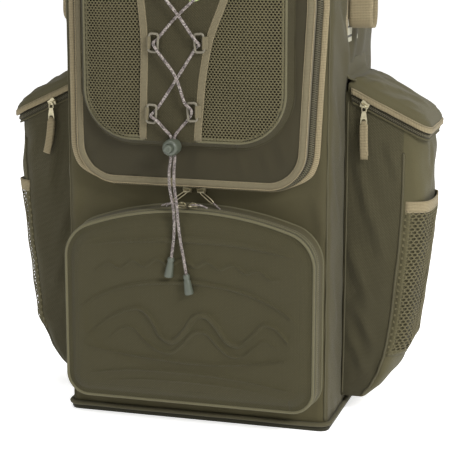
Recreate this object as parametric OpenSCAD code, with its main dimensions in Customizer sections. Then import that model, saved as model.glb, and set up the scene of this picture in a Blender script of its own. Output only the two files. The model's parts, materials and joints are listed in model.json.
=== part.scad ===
// Tackle backpack: a tall square fabric pack that stands on its base.
// Millimetres. +Z is up, the front faces -Y, the wearer's side faces +Y.
// The origin is on the floor, under the middle of the base.

/* [Main bag] */
// Width of the main bag across the front
bag_w = 336; // [330:2:344]
// Depth of the main bag from front to back
bag_d = 250; // [244:2:260]
// Height of the top edge of the bag's walls
bag_h = 640; // [634:2:660]

/* [Front flap] */
// Height of the flap's lower edge
flap_z = 304; // [302:1:308]
// Thickness of the zipped flap tray
flap_t = 17; // [16:1:18]

/* [Moulded pocket] */
// Width of the moulded pocket
shell_w = 318; // [306:2:322]
// Height of the moulded pocket's top edge
shell_top = 276; // [268:1:277]
// How far the arched top falls from its middle to the pocket's sides
shell_arch = 34; // [26:1:40]

/* [Side pockets] */
// How far each side pocket stands out from the bag
side_w = 98; // [90:1:102]
// Depth of each side pocket, front to back
side_d = 106; // [96:2:116]

/* [Cord] */
// Diameter of the elastic cord
cord_d = 3.5; // [3:0.1:3.6]

/* [Hidden] */
$fn = 48;

front = -bag_d / 2;             // outer face of the front wall
back = bag_d / 2;               // outer face of the back wall
edge = bag_w / 2;               // outer face of a side wall
wall = 4;                       // padded fabric wall
corner = 10;                    // radius of the upright corners
flap_w = 292;                   // width of the flap
flap_top = 606;                 // the flap's hinge line
flap_face = front - 0.4 - flap_t;
oval_x = -5;                    // middle of the raised mesh pocket
oval_w = 250;
oval_z = 361;
oval_top = 596;
oval_face = flap_face - 12;     // front of the raised pocket's gusset
loop_y = oval_face - 6;         // back face of the lacing loops
loop_t = 3.5;
cord_front = loop_y - loop_t - 2;   // a strand in front of the loops
cord_back = loop_y + 2;             // a strand behind them
lock_x = -17;
lock_z = 354;
lock_y = oval_face - 6;         // middle of the two cord holes
strand = 2.4;                   // each strand's offset inside the lock
shell_z = 32;                   // lower edge of the moulded pocket
shell_join = front - 24;        // plane where the door meets the zip
shell_round = 45;               // radius of its upper corners
arch_x = 5;                     // middle of the arched top
arch_r = pow(shell_w / 2, 2) / (2 * shell_arch) + shell_arch / 2;
arch_z = shell_top - arch_r;    // the arch's centre
side_front = -42;               // front of the side pockets
side_back = side_front + side_d;
side_x = edge + 0.3;            // inner face of a side pocket
side_out = side_x + side_w;     // its outer face
rim_z = 414;                    // height of the pocket rim at the bag
slope = 0.433 / 0.9014;         // fall of the rim, outwards
lid_up = 14;                    // height of a side lid's skirt
lid_over = 6;                   // overhang of a side lid
tab_x = side_x + 25;            // where the right side slider rests
left_tab_x = side_x + 50;       // the left one stands further out

function rim_at(x) = rim_z - slope * (x - side_x);

// ---- shared shapes ----

// Rectangle with true round corners, about the origin.
module round_rect(w, d, r) {
    square([w - 2 * r, d], center = true);
    square([w, d - 2 * r], center = true);
    for (x = [-1, 1], y = [-1, 1])
        translate([x * (w / 2 - r), y * (d / 2 - r)]) circle(r);
}

// Upright panel outline with its own lower and upper corner radii.
module panel(w, z0, z1, low, high) {
    for (s = [-1, 1]) {
        translate([s * (w / 2 - low), z0 + low]) circle(low);
        translate([s * (w / 2 - high), z1 - high]) circle(high);
    }
    translate([-w / 2, z0 + low]) square([w, z1 - z0 - low - high]);
    translate([-w / 2 + low, z0]) square([w - 2 * low, low + 0.1]);
    translate([-w / 2 + high, z1 - high - 0.1]) square([w - 2 * high, high + 0.1]);
}

// Plate of thickness t made from an x-z outline, with its back face at y.
module slab(y, t) {
    translate([0, y, 0]) rotate([90, 0, 0]) linear_extrude(t) children();
}

// Prism along X made from a y-z outline.
module along_x(x0, x1) {
    translate([x0, 0, 0]) rotate([90, 0, 90]) linear_extrude(x1 - x0) children();
}

module mirror_x() {
    mirror([1, 0, 0]) children();
}

module both_sides() {
    children();
    mirror_x() children();
}

module flap_outline(grow) {
    panel(flap_w + 2 * grow, flap_z - grow, flap_top + grow, 48 + grow, 24 + grow);
}

module oval_outline(grow) {
    translate([oval_x, 0])
        panel(oval_w + 2 * grow, oval_z - grow, oval_top + grow, 60 + grow, 60 + grow);
}

module strip_outline() {
    polygon([[-56, 358], [-55, 425], [-53, 480], [-57, 530], [-64, 600],
        [64, 600], [46, 530], [29, 485], [20, 440], [16, 400], [12, 358]]);
}

function corner_x(s) = s * (shell_w / 2 - shell_round);

function corner_z(s) =
    arch_z + sqrt(pow(arch_r - shell_round, 2) - pow(corner_x(s) - arch_x, 2));

// Straight sides, round corners and an arched top that runs smoothly into them.
module shell_outline(grow) {
    w = shell_w / 2 + grow;
    reach = 1.25 * (arch_r + grow) / (arch_r - shell_round);
    for (s = [-1, 1]) {
        translate([s * (shell_w / 2 - 28), shell_z + 28]) circle(28 + grow);
        translate([corner_x(s), corner_z(s)]) circle(shell_round + grow);
        translate([s < 0 ? -w : 0, shell_z + 28]) square([w, corner_z(s) - shell_z - 28]);
    }
    translate([28 - shell_w / 2, shell_z - grow]) square([shell_w - 56, 28 + grow + 0.1]);
    intersection() {
        translate([arch_x, arch_z]) circle(arch_r + grow);
        polygon(concat([[-40, shell_z + 60], [40, shell_z + 60]],
            [for (s = [1, -1]) for (k = s > 0 ? [1, reach] : [reach, 1])
                [arch_x + (corner_x(s) - arch_x) * k,
                 arch_z + (corner_z(s) - arch_z) * k]]));
    }
}

// ---- swept tube ----

function dist(p, q) = norm(q - p);

function unit(v) = v / norm(v);

// Point k of a closed eight-sided ring about p, square to direction t.
function ring_point(p, t, r, k) =
    let (s = unit(cross(t, abs(t.y) > 0.9 ? [1, 0, 0] : [0, 1, 0])), u = cross(s, t))
    p + r * (cos(45 * k + 22.5) * s + sin(45 * k + 22.5) * u);

function tangent(pts, i) =
    unit(pts[min(i + 1, len(pts) - 1)] - pts[max(i - 1, 0)]);

// Catmull-Rom curve through the control points, n steps a span.
function spline_point(a, b, c, d, t) =
    0.5 * (2 * b + (c - a) * t + (2 * a - 5 * b + 4 * c - d) * t * t
    + (3 * b - a - 3 * c + d) * t * t * t);

function spline(p, n) = [
    for (i = [0 : len(p) - 2])
        for (j = [0 : n - 1])
            spline_point(p[max(i - 1, 0)], p[i], p[i + 1], p[min(i + 2, len(p) - 1)],
                j / n),
    p[len(p) - 1]];

module tube(pts, d) {
    n = len(pts);
    rings = [for (i = [0 : n - 1]) for (k = [0 : 7])
        ring_point(pts[i], tangent(pts, i), d / 2, k)];
    sides = [for (i = [0 : n - 2]) for (k = [0 : 7])
        [i * 8 + k, i * 8 + (k + 1) % 8, (i + 1) * 8 + (k + 1) % 8, (i + 1) * 8 + k]];
    polyhedron(rings, concat([[for (k = [7 : -1 : 0]) k]], sides,
        [[for (k = [0 : 7]) (n - 1) * 8 + k]]));
}

// ---- main bag ----

module main_bag() {
    color("#585240") difference() {
        translate([0, 0, 6]) linear_extrude(bag_h - 6) round_rect(bag_w, bag_d, corner);
        translate([0, 0, 10]) linear_extrude(bag_h)
            round_rect(bag_w - 2 * wall, bag_d - 2 * wall, corner - wall);
    }
}

module base_panel() {
    color("#3a3628") linear_extrude(6) round_rect(bag_w + 4, bag_d + 4, corner + 2);
}

// Corded piping around the base seam.
module base_piping() {
    r = 3;
    x = bag_w / 2 - corner;
    y = bag_d / 2 - corner;
    color("#4a4634") translate([0, 0, 9.2]) {
        for (s = [-1, 1]) {
            translate([-x, s * (y + corner + r), 0]) rotate([0, 90, 0])
                cylinder(h = 2 * x, r = r);
            translate([s * (x + corner + r), -y, 0]) rotate([-90, 0, 0])
                cylinder(h = 2 * y, r = r);
        }
        for (i = [0 : 3])
            translate([(i == 0 || i == 3 ? 1 : -1) * x, (i < 2 ? 1 : -1) * y, 0])
                rotate([0, 0, 90 * i]) rotate_extrude(angle = 90)
                    translate([corner + r, 0]) circle(r);
    }
}

// Stiffening sheet inside the back wall.
module frame_sheet() {
    color("#2b2b2b") slab(back - wall, 2.5) panel(270, 12, 600, 20, 30);
}

module back_pads() {
    color("#33312a") {
        for (s = [-1, 1]) translate([s * 62, 0, 0]) slab(back + 14, 14)
            panel(66, 236, 585, 18, 18);
        slab(back + 18, 18) panel(176, 66, 204, 24, 24);
    }
}

// ---- harness ----

strap_r = 212;                  // bend of a shoulder strap's pad
strap_z = 465;
strap_y = back + 70 - strap_r;
module shoulder_strap() {
    along_x(53, 117) union() {
        intersection() {
            difference() {
                translate([strap_y, strap_z]) circle(strap_r, $fn = 96);
                translate([strap_y, strap_z]) circle(strap_r - 10, $fn = 96);
            }
            polygon([[strap_y, strap_z], [strap_y + 300, strap_z + 245],
                [strap_y + 300, strap_z - 245]]);
        }
        polygon([[back, 604], [back + 19, 594], [back + 25, 602], [back + 9, 618],
            [back, 618]]);
    }
}

module shoulder_strap_left() { color("#4b4736") mirror_x() shoulder_strap(); }

module shoulder_strap_right() { color("#4b4736") shoulder_strap(); }

// Ladder buckle at the foot of a shoulder strap.
module strap_buckles() {
    color("#26261f") both_sides() difference() {
        translate([68, back + 17, 296]) cube([34, 7, 34.5]);
        for (z = [303, 312]) translate([71.5, back + 16, z]) cube([27, 9, 4.5]);
    }
}

// Adjuster webbing from the buckle to the foot of the back wall.
module strap_webbings() {
    color("#3f3c2d") both_sides() hull() {
        translate([72.5, back + 19, 293]) cube([25, 2, 2.6]);
        translate([126, back, 62]) cube([25, 2, 3]);
    }
}

hip_pin = [158, back + 5.4];    // pivot of a hip wing, from above
module hip_wing() {
    translate([hip_pin.x, hip_pin.y, 76]) cylinder(h = 88, r = 5);
    translate([hip_pin.x - 5, hip_pin.y, 76]) cube([10, 27, 88]);
    slab(back + 32.4, 10) translate([99, 0]) panel(128, 72, 168, 24, 24);
}

module hip_wing_left() { color("#4b4736") mirror_x() hip_wing(); }

module hip_wing_right() { color("#4b4736") hip_wing(); }

module hip_webbing() {
    translate([27, back + 32.4, 105]) cube([75, 2, 30]);
}

module hip_webbing_left() { color("#3f3c2d") mirror_x() hip_webbing(); }

module hip_webbing_right() { color("#3f3c2d") hip_webbing(); }

// Unclipped half of the hip buckle, with two spring prongs.
module hip_buckle_male() {
    color("#26261f") {
        translate([-27, back + 29, 101]) cube([9, 9, 38]);
        for (z = [103, 131]) translate([-18, back + 31, z]) cube([14, 5, 6]);
        translate([-18, back + 31.5, 117.5]) cube([12, 4, 5]);
    }
}

module hip_buckle_female() {
    color("#26261f") difference() {
        translate([4, back + 28, 99]) cube([23, 11, 42]);
        translate([3, back + 30.5, 102]) cube([17, 6, 36]);
    }
}

// Carrying handle across the top of the back.
module haul_handle() {
    color("#8d8466") translate([0, 0, 590]) linear_extrude(25) {
        intersection() {
            difference() {
                translate([0, back - 31]) circle(57, $fn = 96);
                translate([0, back - 31]) circle(54.4, $fn = 96);
            }
            translate([-60, back]) square([120, 40]);
        }
    }
}

// ---- top lid ----

lid_z = bag_h + 0.5;
module top_lid() {
    color("#5d5743") {
        difference() {
            translate([0, 0, lid_z]) linear_extrude(24)
                round_rect(bag_w, bag_d, corner);
            translate([0, 0, lid_z - 1]) linear_extrude(20)
                round_rect(bag_w - 2 * wall, bag_d - 2 * wall, corner - wall);
        }
        translate([-140, back, lid_z + 2.5]) rotate([0, 90, 0])
            cylinder(h = 280, r = 2.4);
    }
}

module top_zip() {
    color("#34322a") translate([0, 0, bag_h - 10]) linear_extrude(9) difference() {
        round_rect(bag_w + 4, bag_d + 4, corner + 2);
        round_rect(bag_w, bag_d, corner);
    }
}

module top_slider() {
    color("#a79f80") {
        translate([-5, front - 6.4, bag_h - 11]) cube([10, 4.2, 10]);
        translate([0, front - 6, bag_h - 5]) rotate([90, 0, 0])
            cylinder(h = 2.4, r = 1.6);
        translate([-2, front - 9.4, bag_h - 7.5]) cube([30, 1.4, 5]);
    }
}

// ---- zipped front flap ----

module front_flap() {
    color("#555040") difference() {
        union() {
            slab(front - 0.4, flap_t) flap_outline(0);
            translate([-130, front - 3.4, flap_top]) rotate([0, 90, 0])
                cylinder(h = 260, r = 3);
        }
        slab(front, flap_t - 3) flap_outline(-4);
    }
}

// Flat tape sewn over the flap's rim: both sides and the bottom.
module flap_binding() {
    color("#7d7359") slab(flap_face, 1.2) difference() {
        flap_outline(0);
        flap_outline(-11);
        translate([-200, flap_top - 30]) square([400, 60]);
    }
}

// Coil zip and its outer tape, sewn to the bag around the flap.
module flap_zip() {
    color("#4a4636") slab(front, 2) difference() {
        panel(flap_w + 26, flap_z - 13, flap_top - 6, 61, 4);
        panel(flap_w + 2, flap_z - 1, flap_top + 20, 49, 4);
    }
}

module flap_slider(x) {
    difference() {
        translate([x - 5, front - 6.2, flap_z - 12]) cube([10, 4, 10.5]);
        translate([x - 1.6, front - 7, flap_z - 11]) cube([3.2, 2, 6]);
    }
}

module flap_slider_left() { color("#a79f80") flap_slider(-9); }

module flap_slider_right() { color("#a79f80") flap_slider(9); }

// Zip pull in its own frame: a cross pin at the origin and a bar that hangs below.
module pull(length, w) {
    rotate([0, 90, 0]) translate([0, 0, -1.2]) cylinder(h = 2.4, r = 0.9);
    difference() {
        translate([-w / 2, -2, -length]) cube([w, 1.5, length - 0.3]);
        translate([0, 0, -length + 4]) rotate([90, 0, 0])
            translate([0, 0, -5]) cylinder(h = 10, r = w / 4);
    }
}

module flap_pull(x) {
    translate([x, front - 6.2, flap_z - 8]) rotate([0, 53.130102, 0]) pull(24, 5);
}

module flap_pull_left() { color("#afa582") flap_pull(-9); }

module flap_pull_right() { color("#afa582") mirror_x() flap_pull(-9); }

// ---- raised mesh pocket and its lacing ----

module oval_gusset() {
    color("#4d4939") slab(flap_face, 12) difference() {
        oval_outline(0);
        oval_outline(-3);
    }
}

module mesh_panels() {
    color("#6e684b") slab(oval_face + 0.4, 1.6) difference() {
        oval_outline(-3);
        strip_outline();
        translate([-40, oval_z - 5]) square([40, 20]);
        translate([-70, oval_top - 12]) square([140, 30]);
    }
}

module centre_strip() {
    color("#5c5642") slab(oval_face + 2, 2.6) intersection() {
        oval_outline(-3.2);
        strip_outline();
    }
}

module badge() {
    color("#a9b56a") translate([-3, oval_face - 0.6, 553]) rotate([90, 0, 0])
        scale([1, 0.8, 1]) cylinder(h = 1.2, r = 36);
}

loop_at = [[-60, 569], [52, 569], [-40, 478], [17, 479], [-43, 393], [8, 397]];
module lacing_loops() {
    color("#827b69") for (p = loop_at) {
        s = p.x < 0 ? 1 : -1;   // the strand passes the bar nearer the middle
        seat = p.y > 500 ? oval_face - 1.2 : oval_face - 0.6;   // mesh edge or strip
        difference() {
            translate([p.x - 7, loop_y - loop_t, p.y - 12]) cube([14, loop_t, 24]);
            translate([p.x - 4, loop_y - 5, p.y - 9]) cube([8, 8, 18]);
        }
        translate([p.x - s * 5.5 - 1.5, loop_y - 0.5, p.y - 7])
            cube([3, seat - loop_y + 0.5, 14]);
    }
}

// The cord's route: up through the six loops and back down to the lock.
lace_route = [
    [lock_x - strand, lock_y, 354], [lock_x - strand, lock_y, 366],
    [-25, cord_front, 374], [-34, cord_front, 384], [-39, cord_front, 388],
    [-43, loop_y - 1.7, 390], [-40, cord_back, 395], [-34, cord_back, 402],
    [-12, cord_back, 436], [8, cord_back, 467], [13, cord_back, 474],
    [17, loop_y - 1.7, 477], [14, cord_front, 482], [9, cord_front, 488],
    [-9, cord_front, 513], [-46, cord_front, 556], [-56, cord_front, 564],
    [-60, loop_y - 1.7, 568], [-57, cord_back, 573], [-50, cord_back, 580],
    [-34, cord_front, 585], [0, cord_front, 588], [34, cord_front, 585],
    [44, cord_front, 580], [49, cord_front, 575], [52, loop_y - 1.7, 571],
    [49, cord_back, 565], [42, cord_back, 558], [-8, cord_back, 513],
    [-31, cord_back, 488], [-36, cord_back, 482], [-40, loop_y - 1.7, 478],
    [-37, cord_front, 473], [-31, cord_front, 465], [-12, cord_front, 440],
    [-1, cord_front, 410], [4, cord_front, 404], [8, loop_y - 1.7, 399],
    [5, cord_back, 392], [-1, cord_back, 384], [-10, cord_back, 374],
    [lock_x + strand, lock_y, 366], [lock_x + strand, lock_y, 354]];
module lacing_cord() {
    color("#6f6862") tube(spline(lace_route, 2), cord_d);
}

module lock_body() {
    color("#676b60") difference() {
        translate([lock_x, oval_face - 1, lock_z]) rotate([90, 0, 0])
            cylinder(h = 19, r = 10.5);
        for (s = [-1, 1]) translate([lock_x + s * strand, lock_y, lock_z - 20])
            cylinder(h = 40, r = cord_d / 2 + 0.15);
        translate([lock_x, oval_face - 11, lock_z]) rotate([90, 0, 0])
            cylinder(h = 20, r = 5.4);
    }
}

module lock_plunger() {
    color("#75796c") translate([lock_x, oval_face - 15.5, lock_z]) rotate([90, 0, 0])
        cylinder(h = 12.5, r = 5.3);
}

end_left = [
    [lock_x - strand, lock_y, 354], [lock_x - strand, lock_y, 341],
    [-21, lock_y - 2, 326], [-20, lock_y - 5, 306], [-15, lock_y - 8, 284],
    [-13, lock_y - 9, 262], [-14, lock_y - 9.5, 240], [-17, lock_y - 9.5, 219]];
end_right = [
    [lock_x + strand, lock_y, 354], [lock_x + strand, lock_y, 341],
    [-15, lock_y - 2, 326], [-14, lock_y - 5, 306], [-10, lock_y - 8, 284],
    [-8, lock_y - 9, 262], [-5, lock_y - 9.5, 240], [-1, lock_y - 9.5, 218],
    [2, lock_y - 9.5, 199]];

module cord_end_left() { color("#6f6862") tube(spline(end_left, 3), cord_d); }

module cord_end_right() { color("#6f6862") tube(spline(end_right, 3), cord_d); }

module stopper(p, tilt) {
    translate(p) rotate([0, tilt, 0]) translate([0, 0, -24])
        cylinder(h = 24, r1 = 5.5, r2 = 4.2, $fn = 8);
}

module stopper_left() { color("#676b60") stopper([-17, lock_y - 9.5, 219], 9); }

module stopper_right() { color("#676b60") stopper([2, lock_y - 9.5, 199], -9); }

// ---- moulded lower pocket ----

module shell_gusset() {
    color("#4a4636") slab(front, 18) difference() {
        shell_outline(0);
        shell_outline(-3);
    }
}

module shell_zip() {
    color("#34322a") slab(front - 18, 5.6) difference() {
        shell_outline(1);
        shell_outline(-3);
        translate([-200, 0]) square([400, 62]);
    }
}

// Stiff moulded front that swings down on its lower edge.
module shell_door() {
    color("#55503a") {
        difference() {
            union() {
                slab(shell_join, 10) shell_outline(0);
                slab(shell_join - 10, 4) shell_outline(-8);
            }
            slab(shell_join + 0.1, 9.1) shell_outline(-4);
            slab(shell_join - 5, 6) shell_outline(-11);
        }
        translate([-120, shell_join + 2, shell_z + 1.5]) rotate([0, 90, 0])
            cylinder(h = 240, r = 2.5);
    }
}

module shell_slider(x) {
    translate([x - 5, front - 23.6, shell_top + 1.2]) cube([10, 8, 4]);
}

module shell_slider_left() { color("#a79f80") shell_slider(-10); }

module shell_slider_right() { color("#a79f80") shell_slider(4); }

// Pull that lies forward over the zip.
module shell_pull(x) {
    translate([x, front - 21, shell_top + 6.2]) {
        rotate([0, 90, 0]) translate([0, 0, -1.2]) cylinder(h = 2.4, r = 0.9);
        translate([-2, -18, 0.2]) cube([4, 18, 1.3]);
    }
}

module shell_pull_left() { color("#afa582") shell_pull(-10); }

module shell_pull_right() { color("#afa582") shell_pull(4); }

// ---- side pockets ----

// How far the pocket's outer wall leans in, by height: it narrows towards its bottom.
lean = [[22, 66], [28, 56], [46, 41], [72, 28], [112, 18], [165, 9], [230, 0]];

function out_at(z) = side_out - lookup(z, lean);

// Front outline of a right side pocket, shrunk by t and with its rim moved up.
module pocket_profile(t, up) {
    out = side_out - t;
    polygon(concat([[side_x + t, 22 + t]],
        [for (p = lean) [out_at(p[0]) - t, max(p[0], 22 + t)]],
        [[out, rim_at(out) + up], [side_x + t, rim_at(side_x + t) + up]]));
}

// The pocket's outline from above, shrunk by t.
module pocket_plan(t, extra) {
    r = 18 - t + extra;
    x1 = side_out - t + extra;
    y0 = side_front + t - extra;
    y1 = side_back - t + extra;
    polygon([[side_x + t, y0], [x1 - r, y0], [x1 - r, y0 + r], [x1, y0 + r],
        [x1, y1 - r], [x1 - r, y1 - r], [x1 - r, y1], [side_x + t, y1]]);
    for (y = [y0 + r, y1 - r]) translate([x1 - r, y]) circle(r);
}

module side_pocket() {
    difference() {
        intersection() {
            linear_extrude(500) pocket_plan(0, 0);
            slab(200, 400) pocket_profile(0, 0);
        }
        intersection() {
            linear_extrude(500) pocket_plan(3, 0);
            slab(200, 400) pocket_profile(3, 40);
        }
    }
}

module side_pocket_left() { color("#5f5947") mirror_x() side_pocket(); }

module side_pocket_right() { color("#5f5947") side_pocket(); }

// Band between two lines that run parallel to the rim.
module rim_band(x0, x1, low, high) {
    polygon([[x0, rim_at(x0) + low], [x1, rim_at(x1) + low],
        [x1, rim_at(x1) + high], [x0, rim_at(x0) + high]]);
}

lid_pin = [side_x + 3.2, rim_z + lid_up - 3];
module side_lid() {
    difference() {
        intersection() {
            linear_extrude(500) pocket_plan(0, lid_over);
            slab(200, 400) rim_band(side_x + 1.8, side_out + lid_over, 0.6, lid_up);
        }
        intersection() {
            linear_extrude(500) pocket_plan(3, lid_over);
            slab(200, 400) rim_band(side_x + 6, side_out + lid_over, -5, lid_up - 4);
        }
    }
    translate([lid_pin.x, side_back - 20, lid_pin.y]) rotate([90, 0, 0])
        cylinder(h = side_d - 40, r = 2.5);
}

module side_lid_left() { color("#6b644f") mirror_x() side_lid(); }

module side_lid_right() { color("#6b644f") side_lid(); }

// Dark coil zips just under the rims.
module side_zips() {
    color("#34322a") both_sides() difference() {
        intersection() {
            linear_extrude(500) pocket_plan(0, 1.8);
            slab(200, 400) rim_band(side_x, side_out + 5, -10, -1);
        }
        translate([0, 0, -1]) linear_extrude(502) pocket_plan(0, 0);
    }
}

module side_slider(x) {
    translate([x - 5, side_front - 6.2, rim_at(x) - 11.6]) cube([10, 4.2, 8.2]);
}

module side_slider_left() { color("#a79f80") mirror_x() side_slider(left_tab_x); }

module side_slider_right() { color("#a79f80") side_slider(tab_x); }

// Metal tab with an eye for the webbing puller.
module side_tab(x) {
    translate([x, side_front - 7.2, rim_at(x) - 8]) {
        rotate([0, 90, 0]) translate([0, 0, -2]) cylinder(h = 4, r = 0.9);
        difference() {
            translate([-4, -2.2, -20]) cube([8, 1.6, 21]);
            translate([-2.5, -4, -18]) cube([5, 5, 5]);
        }
    }
}

module side_tab_left() { color("#afa582") mirror_x() side_tab(left_tab_x); }

module side_tab_right() { color("#afa582") side_tab(tab_x); }

module side_puller(x) {
    low = rim_at(x) - 69;
    translate([x - 5, side_front - 11.4, low]) cube([10, 1.5, 48]);
    translate([x - 2.2, side_front - 11.4, low + 43.8]) cube([4.4, 5, 3.6]);
    translate([x - 5, side_front - 7.6, low]) cube([10, 1.5, 48]);
}

module side_puller_left() { color("#8d8466") mirror_x() side_puller(left_tab_x); }

module side_puller_right() { color("#8d8466") side_puller(tab_x); }

// Band that follows the pocket's outer wall from height z0 to z1, between x offsets a and b.
module wall_band(a, b, z0, z1) {
    zs = [z0, 112, 165, 230, z1];
    polygon(concat([for (z = zs) [out_at(z) + a, z]],
        [for (i = [len(zs) - 1 : -1 : 0]) [out_at(zs[i]) + b, zs[i]]]));
}

// Open-topped mesh pockets on the outer faces of the side pockets.
module side_meshes() {
    color("#5e583f") both_sides() difference() {
        slab(side_back - 18, side_d - 36) wall_band(0, 9, 80, 278);
        slab(side_back - 20, side_d - 40) wall_band(-1, 7.4, 82, 300);
    }
}

// ---- upper side loops and label ----

// Webbing loops on the upper sides that hold rods.
module side_loops() {
    color("#8d8466") both_sides() {
        along_x(edge + 3, edge + 33) difference() {
            union() {
                translate([-30, 506]) circle(16);
                translate([-46, 506]) square([32, 100]);
            }
            translate([-30, 506]) circle(13.8);
            translate([-43.8, 506]) square([27.6, 97.5]);
        }
        translate([edge, -46, 590]) cube([3, 32, 16]);
    }
}

module side_label() {
    color("#9a9482") {
        translate([edge, -48, 473]) cube([1.2, 62, 28]);
        translate([edge, -60, 473]) cube([1.6, 12, 86]);
    }
}

// ---- draw ----

main_bag();
base_panel();
base_piping();
frame_sheet();
back_pads();
shoulder_strap_left();
shoulder_strap_right();
strap_webbings();
strap_buckles();
hip_wing_left();
hip_wing_right();
hip_webbing_left();
hip_webbing_right();
hip_buckle_male();
hip_buckle_female();
haul_handle();
top_lid();
top_zip();
top_slider();
front_flap();
flap_binding();
flap_zip();
flap_slider_left();
flap_slider_right();
flap_pull_left();
flap_pull_right();
mesh_panels();
oval_gusset();
centre_strip();
badge();
lacing_loops();
lacing_cord();
lock_body();
lock_plunger();
cord_end_left();
cord_end_right();
stopper_left();
stopper_right();
shell_door();
shell_gusset();
shell_zip();
shell_slider_left();
shell_slider_right();
shell_pull_left();
shell_pull_right();
side_pocket_left();
side_pocket_right();
side_lid_left();
side_lid_right();
side_zips();
side_slider_left();
side_slider_right();
side_tab_left();
side_tab_right();
side_puller_left();
side_puller_right();
side_meshes();
side_loops();
side_label();
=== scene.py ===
"""Looks of the tackle backpack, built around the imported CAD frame. Lengths in this file are
millimetres; put() turns them into metres."""

import json
import math

import bmesh
import bpy
import numpy as np
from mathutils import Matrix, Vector

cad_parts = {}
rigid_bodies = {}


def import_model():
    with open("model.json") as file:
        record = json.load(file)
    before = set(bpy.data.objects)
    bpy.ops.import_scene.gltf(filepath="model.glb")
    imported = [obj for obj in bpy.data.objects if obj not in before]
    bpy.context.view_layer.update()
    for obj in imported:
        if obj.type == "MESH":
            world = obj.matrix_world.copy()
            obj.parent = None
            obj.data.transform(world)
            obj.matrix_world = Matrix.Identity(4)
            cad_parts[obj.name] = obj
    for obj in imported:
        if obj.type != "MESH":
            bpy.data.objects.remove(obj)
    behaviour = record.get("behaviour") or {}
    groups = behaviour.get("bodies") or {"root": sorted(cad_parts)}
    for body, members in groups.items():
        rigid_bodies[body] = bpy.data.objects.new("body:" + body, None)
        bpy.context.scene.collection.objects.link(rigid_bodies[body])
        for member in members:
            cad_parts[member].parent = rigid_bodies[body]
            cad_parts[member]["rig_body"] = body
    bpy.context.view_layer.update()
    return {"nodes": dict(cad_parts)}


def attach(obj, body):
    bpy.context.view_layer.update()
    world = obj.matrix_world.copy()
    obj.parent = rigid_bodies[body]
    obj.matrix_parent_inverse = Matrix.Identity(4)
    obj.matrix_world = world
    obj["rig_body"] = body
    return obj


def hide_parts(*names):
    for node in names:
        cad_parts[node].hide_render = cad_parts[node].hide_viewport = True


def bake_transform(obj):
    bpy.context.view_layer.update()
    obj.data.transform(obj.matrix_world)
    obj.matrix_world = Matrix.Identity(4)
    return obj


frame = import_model()
nodes = frame["nodes"]
MM = 0.001

# ------------------------------------------------------------------ camera
YAW, PITCH, DISTANCE = math.radians(16.3), math.radians(12.2), 2.088
LOOK = Vector((0.0013, 0.0, 0.2257))
FOCAL_PX, FRAME_PX, SENSOR = 1597.0, 450.0, 36.0

cam_data = bpy.data.cameras.new("camera")
cam_data.sensor_width = SENSOR
cam_data.lens = FOCAL_PX / FRAME_PX * SENSOR
cam = bpy.data.objects.new("camera", cam_data)
toward = Vector((math.sin(YAW) * math.cos(PITCH), -math.cos(YAW) * math.cos(PITCH), math.sin(PITCH)))
cam.location = LOOK + toward * DISTANCE
cam.rotation_euler = (LOOK - cam.location).to_track_quat("-Z", "Y").to_euler()
bpy.context.scene.collection.objects.link(cam)
bpy.context.scene.camera = cam


# ------------------------------------------------------------------ materials
class Nodes:
    """Short way to build a node tree."""

    def __init__(self, name):
        self.mat = bpy.data.materials.new(name)
        self.mat.use_nodes = True
        self.t = self.mat.node_tree
        self.bsdf = self.t.nodes["Principled BSDF"]

    def add(self, kind, **kw):
        n = self.t.nodes.new("ShaderNode" + kind)
        for k, v in kw.items():
            if hasattr(n, k):
                setattr(n, k, v)
            else:
                n.inputs[k].default_value = v
        return n

    def link(self, a, b):
        self.t.links.new(a, b)

    def math(self, op, a, b=0.0, c=None):
        n = self.t.nodes.new("ShaderNodeMath")
        n.operation = op
        for i, v in enumerate((a, b, c)):
            if v is None:
                continue
            if isinstance(v, (int, float)):
                n.inputs[i].default_value = v
            else:
                self.link(v, n.inputs[i])
        return n.outputs[0]

    def ramp(self, fac, stops):
        n = self.t.nodes.new("ShaderNodeValToRGB")
        e = n.color_ramp.elements
        e[0].position, e[0].color = stops[0][0], (*stops[0][1], 1)
        e[1].position, e[1].color = stops[-1][0], (*stops[-1][1], 1)
        for p, c in stops[1:-1]:
            x = e.new(p)
            x.color = (*c, 1)
        self.link(fac, n.inputs[0])
        return n.outputs[0]

    def noise(self, vector, scale, detail=3.0, rough=0.55):
        n = self.add("TexNoise")
        n.inputs["Scale"].default_value = scale
        n.inputs["Detail"].default_value = detail
        n.inputs["Roughness"].default_value = rough
        self.link(vector, n.inputs["Vector"])
        return n.outputs["Fac"]

    def uv(self):
        n = self.add("TexCoord")
        s = self.add("SeparateXYZ")
        self.link(n.outputs["UV"], s.inputs[0])
        return n.outputs["UV"], s.outputs[0], s.outputs[1], n.outputs["Object"]

    def bump(self, height, strength, distance, before=None):
        n = self.add("Bump")
        n.inputs["Strength"].default_value = strength
        n.inputs["Distance"].default_value = distance
        self.link(height, n.inputs["Height"])
        if before is not None:
            self.link(before, n.inputs["Normal"])
        return n.outputs["Normal"]


def shade(c, k):
    """A colour made darker or lighter."""
    return tuple(min(1.0, x * k) for x in c)


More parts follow.
